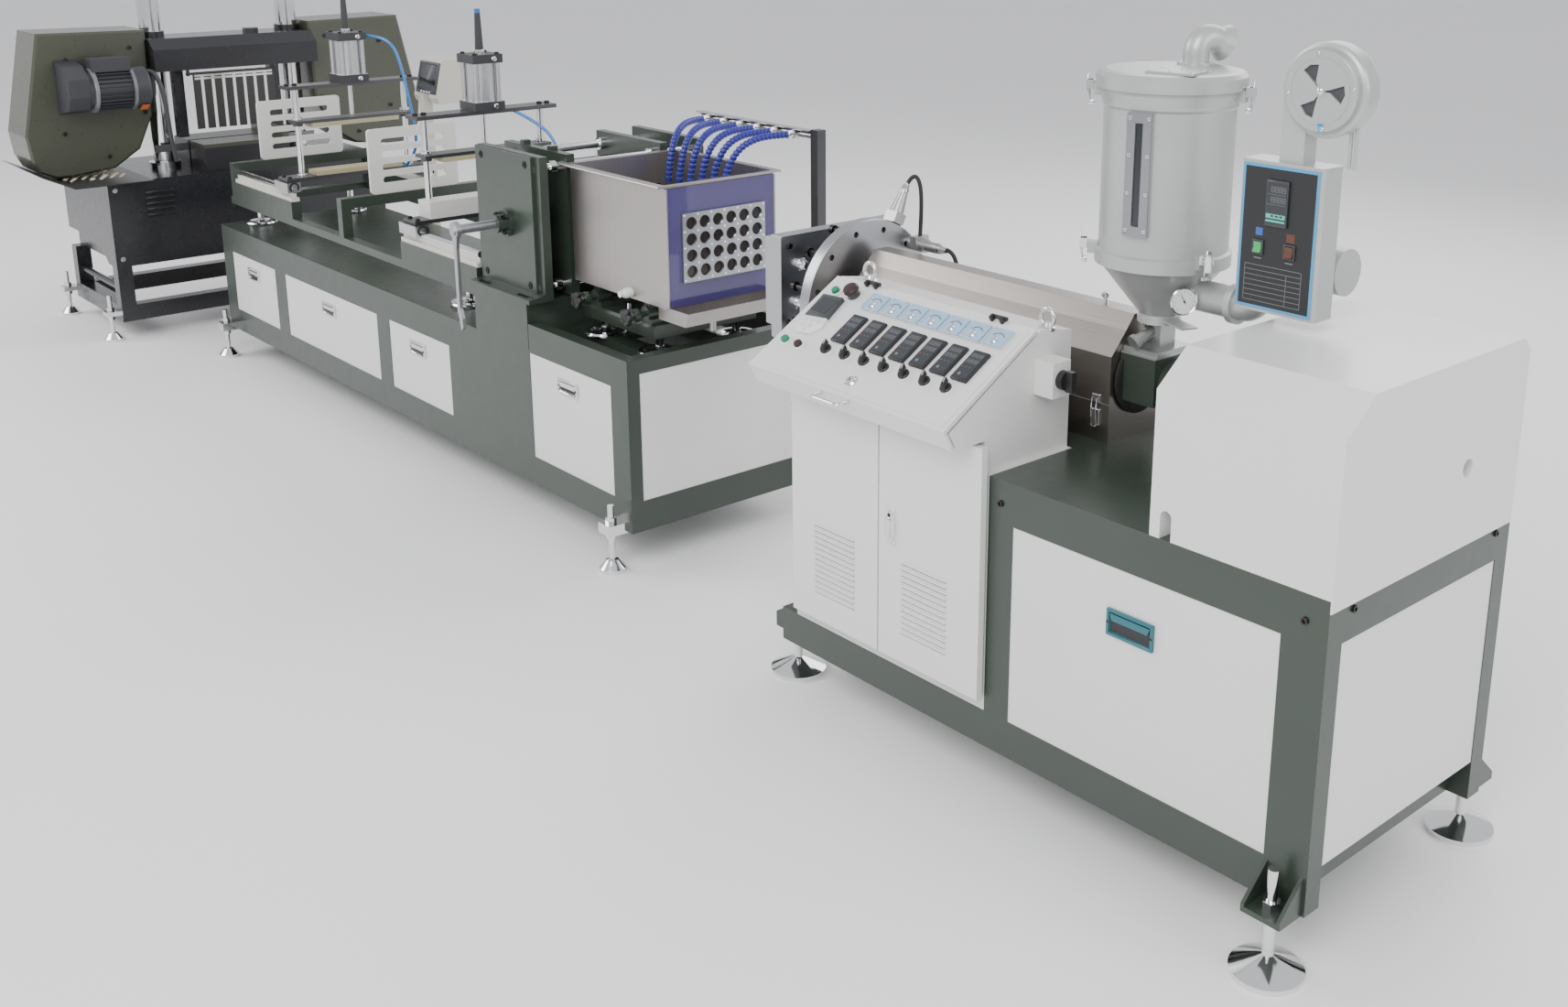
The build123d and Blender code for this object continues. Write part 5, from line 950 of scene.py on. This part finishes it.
def makeDryerPanel():
    (left, right), (low, high) = dryer["panel"]["x"], dryer["panel"]["z"]
    width, length = right - left, high - low
    panel = Piece(
        "dryer_panel", "line", "black_plastic", facing((left, dryer["panel"]["face"], low), (0, -1, 0))
    )
    border = dryer["border"]
    panel.add(cuboid(width, length, 0.0012, 0.0004, 1), borderBlue, moved(width / 2, length / 2))
    panel.add(
        cuboid(width - 2 * border, length - 2 * border, 0.0016, 0.0004, 1), blackPlastic,
        moved(width / 2, length / 2, 0.0002)
    )
    u, v, wide, tall = dryer["controller"]
    at = moved(u + wide / 2, v + tall / 2, 0.0016)
    panel.add(cuboid(wide, tall, 0.006, 0.002, 2), greyPlastic, at)
    panel.add(cuboid(wide - 0.006, tall - 0.010, 0.0008), screenDark, at @ moved(0, 0, 0.0056))
    for row in (0.024, 0.003):
        digitPair(panel, glowGrey, at @ moved(-0.010, row, 0.0064), (0.0062, 0.0105))
        panel.add(cuboid(wide - 0.010, 0.0007, 0.0004), glowGrey, at @ moved(0, row - 0.005, 0.0064))
    for row, height in ((-0.026, 0.009), (-0.036, 0.004)):
        panel.add(cuboid(wide - 0.007, height, 0.0006), tealStrip, at @ moved(0, row, 0.0062))
    for index in range(3):
        panel.add(
            cuboid(0.007, 0.004, 0.0005), greyPlastic, at @ moved(-0.008 + index * 0.0105, -0.0255, 0.0066)
        )
    for u, v, wide, tall, colour in dryer["squares"]:
        panel.add(
            cuboid(wide, tall, 0.0008), labelBlue if colour == "blue" else rockerBrown,
            moved(u + wide / 2, v + tall / 2, 0.0016)
        )
    for u, v, wide, tall, colour in dryer["rockers"]:
        at = moved(u + wide / 2, v + tall / 2, 0.0016)
        panel.add(tray(wide, tall, 0.004, 0.003, 0.002, 0.0005), greyPlastic, at)
        wedge = [
            (-tall / 2 + 0.0045, 0), (tall / 2 - 0.0045, 0), (tall / 2 - 0.0045, 0.0035), (0, 0.0026),
            (-tall / 2 + 0.0045, 0.0068)
        ]
        turned = at @ Matrix(((0, 0, 1, 0), (1, 0, 0, 0), (0, 1, 0, 0), (0, 0, 0, 1))) @ moved(
            0, 0, -(wide - 0.008) / 2
        )
        panel.add(
            slab(wedge, wide - 0.008, 0.0006, 1), rockerGreen if colour == "green" else rockerBrown,
            turned @ moved(0, 0.0018)
        )
        # the printed label glows faintly: painted light
        panel.add(cuboid(0.018, 0.0022, 0.0004), glowGrey, at @ moved(0, -tall / 2 - 0.008))
    # the printed table lines glow faintly: painted light
    u, v, wide, tall = dryer["table"]
    for index in range(dryer["rows"] + 1):
        panel.add(
            cuboid(wide, 0.0011, 0.0004), glowGrey,
            moved(u + wide / 2, v + tall * index / dryer["rows"], 0.0017)
        )
    for column in (0, dryer["column"], wide):
        tallest = tall if column in (0, wide) else tall * (dryer["rows"] - 1) / dryer["rows"]
        panel.add(cuboid(0.0011, tallest, 0.0004), glowGrey, moved(u + column, v + tallest / 2, 0.0017))
    panel.done()


def makeBlowerFace():
    spec = dryer["blower"]
    face = Piece("blower_face", "line", "dryer_silver", facing(spec["centre"], (0, -1, 0)))
    for index in range(3):
        turn = 90 + 120 * index
        vane = [
            (0.007, 0.004), (0.020, 0.0095), (0.052, 0.006), (0.0505, 0.026), (0.038, 0.0395),
            (0.026, 0.0265), (0.017, 0.0145)
        ]
        at = moved(0, 0, -0.0056, turn)
        face.add(slab(vane, 0.0006), greyPlastic, at)
    face.add(domeHead(0.0075, 0.004, 18), chrome)
    face.add(disc(0.011, 0.0012), dryerSilver)
    for index in range(4):
        at = moved(0, 0, -0.0005, 8 + 90 * index) @ moved(spec["screws"] - 0.004, 0)
        face.add(domeHead(0.0050, 0.0034), chrome, at)
    face.add(cuboid(0.012, 0.019, 0.0006), borderBlue, moved(0.008, -0.071, 0.0002, 12))
    face.add(arc(spec["disc"], 0.0016, 0.0012, 0, 360, 48), dryerSilver, moved(0, 0, -0.0004))
    face.done()


cover = {
    "latch": (-0.867, 0.359, 0.870),
    "knob": (-0.937, 0.462, 1.102),
    "split": (-1.730, -0.828, 0.894),
    "ring": 0.948,
}


def makeCoverFittings():
    x, y, z = cover["latch"]
    latch = Piece("cover_latch", "line", "foot_chrome", facing((x, y, z), (0, -1, 0)))
    latch.add(cuboid(0.022, 0.020, 0.004, 0.0012, 1), chrome, moved(0, 0.034))
    latch.add(cuboid(0.024, 0.040, 0.004, 0.0012, 1), chrome, moved(0, -0.012))
    for side in (-0.007, 0.007):
        latch.add(
            pipe([(side, 0.036, 0.006), (side, 0.012, 0.011), (side, -0.012, 0.009)], 0.0016, 2, 3), chrome
        )
    latch.add(
        slab([(-0.009, -0.030), (0.009, -0.030), (0.007, 0.010), (-0.007, 0.010)], 0.003, 0.001, 1), chrome,
        moved(0, 0, 0.006)
    )
    latch.add(
        pipe([(-0.008, -0.030, 0.007), (0, -0.038, 0.012), (0.008, -0.030, 0.007)], 0.0022, 2, 4), chrome
    )
    latch.done()
    left, right, z = cover["split"]
    trims = Piece("cover_trims", "line", "stainless_cover")
    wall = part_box("barrel_cover")[0].y
    trims.add(
        cuboid(right - left, 0.0022, 0.003, 0.0006, 1), satinSteel,
        facing(((left + right) / 2, wall, z), (0, -1, 0))
    )
    knob = cover["knob"]
    trims.add(
        lathe([(0, 0), (0.009, 0), (0.005, 0.004), (0.005, 0.012), (0.010, 0.017), (0.0105, 0.023),
        (0.006, 0.027), (0, 0.0275)]), chrome, moved(*knob)
    )
    trims.done()
    seal = Piece("barrel_seal", "line", "black_plastic")
    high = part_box("barrel_cover")[1]
    outline = [
        (0.064, 0), (0.088, 0), (0.091, 0.003), (0.091, 0.008), (0.086, 0.011), (0.064, 0.011), (0.064, 0)
    ]
    seal.add(lathe(outline, 40), rubberBlack, facing((high.x, lineY, cover["ring"]), (1, 0, 0)))
    seal.done()


die = {
    "face": -1.900,
    "domes": ((0.314, 1.049), (0.303, 0.943), (0.610, 1.049), (0.621, 0.943)),
    "dome": (0.017, 0.030),
    "corners": ((0.275, 0.888), (0.649, 0.888), (0.275, 1.106), (0.649, 1.106)),
}


def makeDieFittings():
    fittings = Piece("die_nuts", "line", "foot_chrome")
    radius, height = die["dome"]
    for y, z in die["domes"]:
        at = facing((die["face"], y, z), (1, 0, 0))
        fittings.add(hexHead(radius * 1.15, 0.010), chrome, at)
        fittings.add(
            lathe([(0, 0.009), (radius, 0.009), (radius * 0.95, 0.020), (radius * 0.6, height),
            (0, height + 0.003)], 24), chrome, at
        )
    for y, z in die["corners"]:
        fittings.add(socketHead(0.009, 0.008), blackSteel, facing((die["face"], y, z), (1, 0, 0)))
    fittings.done()
    leads = Piece("heater_leads", "line", "black_plastic")
    first = [
        (-1.794, 0.600, 1.219), (-1.794, 0.620, 1.262), (-1.770, 0.636, 1.280), (-1.748, 0.634, 1.215),
        (-1.744, 0.622, 1.106)
    ]
    leads.add(pipe(first, 0.006, 3, 8), rubberBlack)
    second = [
        (-1.664, 0.620, 1.086), (-1.635, 0.622, 1.092), (-1.606, 0.628, 1.070), (-1.600, 0.632, 1.010),
        (-1.604, 0.632, 0.940), (-1.62, 0.632, 0.806)
    ]
    leads.add(pipe(second, 0.006, 3, 8), rubberBlack)
    for at in (
        facing((-1.668, 0.620, 1.086), (1, 0, 0)), facing((-1.794, 0.602, 1.223), (0, 0.454, 0.891), (1, 0,
        0))
    ):
        leads.add(
            lathe([(0, 0), (0.0125, 0), (0.0135, 0.004), (0.0135, 0.016), (0.010, 0.022), (0.0085, 0.034),
            (0, 0.034)], 20), uprightSteel, at
        )
    leads.done()


tank = {
    "pitch": 0.050,
    "columns": 6,
    "rows": 4,
    "middle": 1.0,
    "nipple": (-2.653, 0.255, 0.834),
    "knobs": ((-2.888, 0.222, 0.772), (-2.605, 0.222, 0.772)),
}


def makeTankFittings():
    spec = tank
    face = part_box("tank_hole_plate")[1].x
    rings = Piece("hole_plate_fittings", "line", "tool_steel")
    for row in range(spec["rows"]):
        for column in range(spec["columns"]):
            y = lineY + (column - (spec["columns"] - 1) / 2) * spec["pitch"]
            z = spec["middle"] + (row - (spec["rows"] - 1) / 2) * spec["pitch"]
            at = facing((face, y, z), (1, 0, 0))
            rings.add(
                lathe([(0.0192, -0.006), (0.0205, 0), (0.0205, 0.0006), (0.0195, 0.0006), (0.0184, -0.006),
                (0.0192, -0.006)], 24), plateSteel, at
            )
            rings.add(ring(0.0150, 0.0188, -0.0105, -0.0085, 24), rubberBlack, at)
    for row in range(spec["rows"] + 1):
        for column in range(spec["columns"] + 1):
            y = lineY + (column - spec["columns"] / 2) * spec["pitch"]
            z = spec["middle"] + (row - spec["rows"] / 2) * spec["pitch"]
            rings.add(domeHead(0.0042, 0.0030, 10), chrome, facing((face, y, z), (1, 0, 0)))
    rings.done()
    low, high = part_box("tank_window")
    rim = Piece("window_trim", "line", "stainless_cover")
    for y in (low.y - 0.002, high.y + 0.002):
        rim.add(
            cuboid(0.006, high.z - low.z, 0.012, 0.001, 1), tankSteel,
            facing((low.x, y, (low.z + high.z) / 2), (1, 0, 0))
        )
    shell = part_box("tank_shell")
    rim.add(
        pipe([(shell[0].x, shell[0].y, shell[1].z - 0.003),
        (shell[0].x + 0.3, shell[0].y, shell[1].z - 0.003), (high.x, shell[0].y, shell[1].z - 0.003)],
        0.0042, 2, 2), tankSteel
    )
    rim.done()
    fit = Piece("tank_side_fittings", "line", "white_plastic")
    at = facing(spec["nipple"], (0, -1, 0))
    fit.add(
        lathe([(0, 0), (0.014, 0), (0.016, 0.004), (0.016, 0.022), (0.013, 0.030), (0.010, 0.034),
        (0.010, 0.044), (0, 0.044)]), keyWhite, at
    )
    fit.add(
        lathe([(0, 0), (0.006, 0), (0.006, 0.045), (0.0085, 0.050), (0.0085, 0.062), (0, 0.062)]), chrome,
        facing((-2.655, 0.246, 0.800), (0, 0, -1), (0, 1, 0))
    )
    for place in spec["knobs"]:
        at = facing(place, (0, -1, 0))
        fit.add(
            lathe([(0, 0), (0.009, 0), (0.009, 0.010), (0.0065, 0.012), (0.0065, 0.022), (0, 0.022)]),
            chrome, at
        )
        for turn in range(5):
            lobe = at @ moved(0, 0, 0.012, 72 * turn) @ moved(0.017, 0)
            fit.add(
                lathe([(0, 0), (0.010, 0), (0.0115, 0.004), (0.0115, 0.014), (0.009, 0.017), (0, 0.017)],
                16), blackPlastic, lobe
            )
        fit.add(
            lathe([(0, 0.010), (0.017, 0.010), (0.017, 0.027), (0.012, 0.030), (0, 0.030)], 20),
            blackPlastic, at
        )
    fit.done()


hoses = {
    "start": (-3.044, 0.092, 0.838, 1.278),
    "ends": (-2.900, -2.600),
    "count": 6,
    "reach": 0.260,
    "drop": 0.170,
    "bead": (0.0118, 0.0156),
}


def makeHoses():
    first, pitch, y, z = hoses["start"]
    radius, length = hoses["bead"]
    beads = Piece("jointed_hoses", "line", "hose_blue")
    waist = radius * 0.74
    profile = [
        (0, 0), (waist, 0), (radius, length * 0.24), (radius * 1.02, length * 0.56), (waist, length * 0.94),
        (0, length * 0.94)
    ]
    for index in range(hoses["count"]):
        x = first + index * pitch
        end = hoses["ends"][0] + index * (hoses["ends"][1] - hoses["ends"][0]) / (hoses["count"] - 1)
        knots = [
            (x, y, z), (x, y - 0.090, z), (end, y - hoses["reach"] + 0.020, z + 0.030),
            (end, y - hoses["reach"], z - hoses["drop"])
        ]
        knots = [Vector(knot) for knot in knots]
        walk, last, t = 0.0, knots[0], 0.0
        while t < 1.0:  # beads are set one after another along the bent line
            t += 0.002
            here = sum(
                (knots[k] * (math.comb(3, k) * t ** k * (1 - t) ** (3 - k)) for k in range(4)), Vector()
            )
            walk += (here - last).length
            if walk >= length:
                beads.add(
                    lathe(profile, 12), hoseBlue, facing(last, here - last, (1, 0, 0)) @ moved(0, 0,
                    -length * 0.5)
                )
                walk = 0.0
            last = here
        nozzle = facing(knots[3], knots[3] - knots[2], (1, 0, 0))
        beads.add(
            lathe([(0, -0.016), (waist, -0.016), (waist, -0.004), (radius * 0.62, 0.0), (0, 0.0)], 12),
            hoseBlue, nozzle
        )
        beads.add(
            lathe([(0, 0), (0.0135, 0), (0.0135, 0.016), (0.0105, 0.020), (0, 0.020)], 16), chrome,
            facing((x, y + 0.006, z), (0, -1, 0))
        )
    beads.done("coolant_hoses")


press = {
    "screws": ((-3.372, 1.188), (-3.090, 1.188), (-3.372, 0.790), (-3.090, 0.790)),
    "face": 0.153,
    "centre": (-3.214, 0.9815),
}


def makePressFittings():
    screws = Piece("press_screws", "line", "tool_steel")
    for x, z in press["screws"]:
        at = facing((x, press["face"], z), (0, -1, 0))
        screws.add(
            lathe([(0, 0.0002), (0.013, 0.0002), (0.013, 0.0008), (0.0095, 0.0008), (0.0095, 0.0002)], 20),
            rubberBlack, at
        )
        screws.add(socketHead(0.009, 0.003), blackSteel, at)
    x, z = press["centre"]
    for turn in range(4):
        angle = math.pi / 4 + turn * math.pi / 2
        at = facing(
            (x + 0.037 * math.cos(angle), press["face"] - 0.028, z + 0.037 * math.sin(angle)), (0, -1, 0)
        )
        screws.add(socketHead(0.0085, 0.006), blackSteel, at)
    screws.done()


stations = {
    "x": (-5.035, -3.910),
    "top": 1.255,
    "corner": 0.045,
    "cap": {"low": 1.287, "high": 1.458},
    "tubeFront": (
        (0.0, 0.052, 1.440), (0.06, 0.10, 1.442), (0.16, 0.13, 1.415), (0.205, 0.14, 1.31),
        (0.225, 0.15, 1.20), (0.235, 0.17, 1.05), (0.150, 0.20, 0.94), (0.036, 0.20, 0.872)
    ),
    "tubeBack": (
        (0.02, 0.10, 1.250), (0.08, 0.15, 1.215), (0.15, 0.20, 1.155), (0.19, 0.21, 1.05),
        (0.110, 0.20, 0.93), (0.036, 0.20, 0.872)
    ),
}


def makeStationFittings():
    for index, x in enumerate(stations["x"]):
        name = f"station_{index + 1}"
        fittings = Piece(name + "_fittings", name, "tool_steel")
        for side in (-1, 1):
            for y in (lineY + side * 0.237, lineY + side * 0.270):
                fittings.add(socketHead(0.010, 0.008), blackSteel, moved(x, y, stations["top"]))
            for u in (-1, 1):
                fittings.add(
                    socketHead(0.0085, 0.007), blackSteel, moved(x + u * 0.030, lineY + side * 0.302, 0.881)
                )
                at = facing((x + u * 0.066, lineY + side * 0.302, 0.848), (u, 0, 0))
                fittings.add(ring(0.014, 0.021, 0, 0.003, 24), rubberBlack, at)
            fittings.add(
                lathe([(0.0125, 0), (0.021, 0), (0.021, 0.006), (0.0125, 0.008), (0.0125, 0)], 24), chrome,
                moved(x, lineY + side * 0.237, 0.881)
            )
        corner = stations["corner"]
        for u in (-1, 1):
            for v in (-1, 1):
                fittings.add(
                    socketHead(0.0085, 0.006), blackSteel,
                    moved(x + u * corner, lineY + v * corner, stations["cap"]["high"])
                )
                fittings.add(
                    hexHead(0.010, 0.008), chrome, moved(x + u * corner, lineY + v * corner,
                    stations["cap"]["low"])
                )
        for z in (1.271, 1.442):
            at = facing((x + 0.060, lineY + 0.02, z), (1, 0, 0))
            fittings.add(
                lathe([(0, 0), (0.009, 0), (0.009, 0.008), (0.0065, 0.010), (0.0065, 0.018), (0, 0.018)]),
                chrome, at
            )
        fittings.add(
            lathe([(0, 0), (0.018, 0), (0.018, 0.012), (0.014, 0.016), (0, 0.016)]), chrome,
            moved(x, lineY, stations["cap"]["high"])
        )
        tube = stations["tubeFront"] if index == 0 else stations["tubeBack"]
        fittings.add(pipe([(x + u, lineY + v, z) for u, v, z in tube], 0.006, 3, 8), airBlue)
        fittings.done()


hmi = {"screen": (0.150, 0.112), "buttons": 4}


def makeScreen():
    low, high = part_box("hmi_box")
    top, bottom = Vector((0, 0.880, 1.316)), Vector((0, 0.840, 1.150))
    middle = (top + bottom) / 2 + Vector(((low.x + high.x) / 2, 0, 0))
    rise = (top - bottom).normalized()
    outward = Vector((0, -rise.z, rise.y))
    screen = Piece("touch_screen", "line", "black_plastic", facing(middle, outward, rise))
    width, length = hmi["screen"]
    screen.add(tray(width + 0.026, length + 0.026, 0.006, 0.011, 0.0028, 0.001), greyPlastic)
    screen.add(cuboid(width, length, 0.0008), screenDark, moved(0, 0, 0.0030))
    for index in range(hmi["buttons"]):
        screen.add(
            cuboid(0.014, 0.006, 0.0012, 0.0004, 1), keyWhite,
            moved(-0.036 + 0.024 * index, -length / 2 - 0.0075, 0.0056)
        )
    screen.done()


saw = {
    "motor": {
        "x": -6.265, "z": 1.150, "front": -0.223, "radius": 0.096, "grille": (0.030, 0.046, 0.062, 0.078)
    },
    "hose": (
        (-6.30, 0.02, 1.20), (-6.24, 0.06, 1.24), (-6.20, 0.09, 1.15), (-6.205, 0.10, 1.00),
        (-6.215, 0.11, 0.88), (-6.24, 0.13, 0.80)
    ),
    "coverBolts": ((-0.30, 0.95), (-0.26, 1.28), (0.02, 1.32), (0.06, 1.02), (-0.12, 0.83)),
    "coverFace": -6.380,
    "teeth": 120,
    "bodyFace": -6.200,
    "louvre": {"y": (-0.040, 0.090), "z": 0.560, "pitch": 0.026, "count": 5},
}


def makeSawMotor():
    spec = saw["motor"]
    at = facing((spec["x"], spec["front"], spec["z"]), (0, 1, 0))
    radius = spec["radius"]
    motor = Piece("motor_dressing", "saw_head", "motor_paint", at)
    motor.add(
        lathe([(radius - 0.022, 0.016), (radius + 0.002, 0.016), (radius + 0.004, 0.020),
        (radius + 0.004, 0.032), (radius - 0.022, 0.036), (radius - 0.022, 0.016)], 40), bellGrey
    )
    motor.add(ring(radius - 0.022, radius + 0.004, 0.182, 0.196, 40), bellGrey)
    for turn in range(28):
        if turn % 7 > 0:
            motor.add(
                cuboid(0.0036, 0.016, 0.142, 0.0008, 1), motorGrey,
                Matrix.Rotation(math.tau * turn / 28, 4, "Z") @ moved(0, radius - 0.010, 0.038)
            )
    for bow in spec["grille"]:
        motor.add(arc(bow, 0.003, 0.003, 0, 360, 40), motorGrey, moved(0, 0, 0.2615))
    motor.add(
        cuboid(0.050, 0.0012, 0.034, 0.0004, 1), labelOrange,
        Matrix.Rotation(math.radians(150), 4, "Z") @ moved(0, radius + 0.0035, 0.215)
    )
    for side in (-1, 1):
        motor.add(
            hexHead(0.008, 0.008), chrome, moved(side * 0.05, -0.03, 0.0) @ Matrix.Rotation(math.pi, 4, "X")
        )
    motor.done()


def makeSawFittings():
    trims = Piece("saw_trims", "saw_head", "tool_steel")
    for y, z in saw["coverBolts"]:
        for place in ((saw["coverFace"], y, z), (saw["coverFace"], 0.976 - y, z)):
            trims.add(socketHead(0.010, 0.007), blackSteel, facing(place, (1, 0, 0)))
    trims.add(pipe(saw["hose"], 0.011, 3, 8), greyPlastic)
    low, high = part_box("saw_curtain")
    for z in (high.z - 0.030, high.z - 0.044):
        trims.add(
            cuboid(0.37, 0.010, 0.0016, 0.0004, 1), chrome,
            facing(((low.x + high.x) / 2 + 0.0045, lineY, z), (1, 0, 0))
        )
    trims.done()
    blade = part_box("saw_blade")
    teeth = Piece("blade_teeth", "saw_head", "tool_steel")
    span = blade[1].y - blade[0].y
    for index in range(saw["teeth"]):
        y = blade[0].y + span * (index + 0.5) / saw["teeth"]
        tooth = [(-0.0028, 0), (0.0028, 0), (-0.0014, -0.0034)]
        teeth.add(
            slab(tooth, 0.0014), darkSteel, facing((blade[0].x + 0.0003, y, blade[0].z + 0.0005), (1, 0, 0))
        )
    teeth.done()
    low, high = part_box("saw_table")
    chips = Piece("saw_chips", "line", "white_plastic")
    for index in range(90):
        u, v = (index * 0.6180339) % 1.0, (index * 0.7548777) % 1.0
        x = low.x + 0.12 + u * (high.x - low.x - 0.30)
        y = low.y + 0.16 + v * 0.26
        size = 0.006 + 0.008 * ((index * 0.39) % 1.0)
        chips.add(
            lathe([(0, 0), (size, 0.0), (size * 0.7, size * 0.5), (0, size * 0.62)], 6), chipCream,
            moved(x, y, 0.7385, 40 * index)
        )
    chips.done()
    spec = saw["louvre"]
    hoods = Piece("saw_louvres", "line", "black_paint")
    y = sum(spec["y"]) / 2
    for index in range(spec["count"]):
        z = spec["z"] + index * spec["pitch"] + 0.012
        hoods.add(
            cuboid(spec["y"][1] - spec["y"][0], 0.010, 0.006, 0.0026, 2), sawBlack,
            facing((saw["bodyFace"], y, z), (1, 0, 0))
        )
    for y, z in ((-0.17, 0.70), (-0.17, 0.38), (1.09, 0.70), (1.09, 0.38)):
        hoods.add(hexHead(0.012, 0.006), chrome, facing((saw["bodyFace"], y, z), (1, 0, 0)))
    hoods.done()


def addFloor():
    bm = bmesh.new()
    bmesh.ops.create_grid(bm, x_segments=8, y_segments=8, size=40, matrix=Matrix.Translation((-3, 0, 0)))
    mesh = bpy.data.meshes.new("floor")
    bm.to_mesh(mesh)
    bm.free()
    floor = bpy.data.objects.new("floor", mesh)
    bpy.context.scene.collection.objects.link(floor)
    mesh.materials.append(floorFinish())


addCamera()
addLights()
addFloor()
dressNodes()
makeDeskPanel()
makeDoorPressings()
makePulls()
makeHopperFittings()
makeDryerPanel()
makeBlowerFace()
makeCoverFittings()
makeDieFittings()
makeTankFittings()
makeHoses()
makePressFittings()
makeStationFittings()
makeScreen()
makeSawMotor()
makeSawFittings()
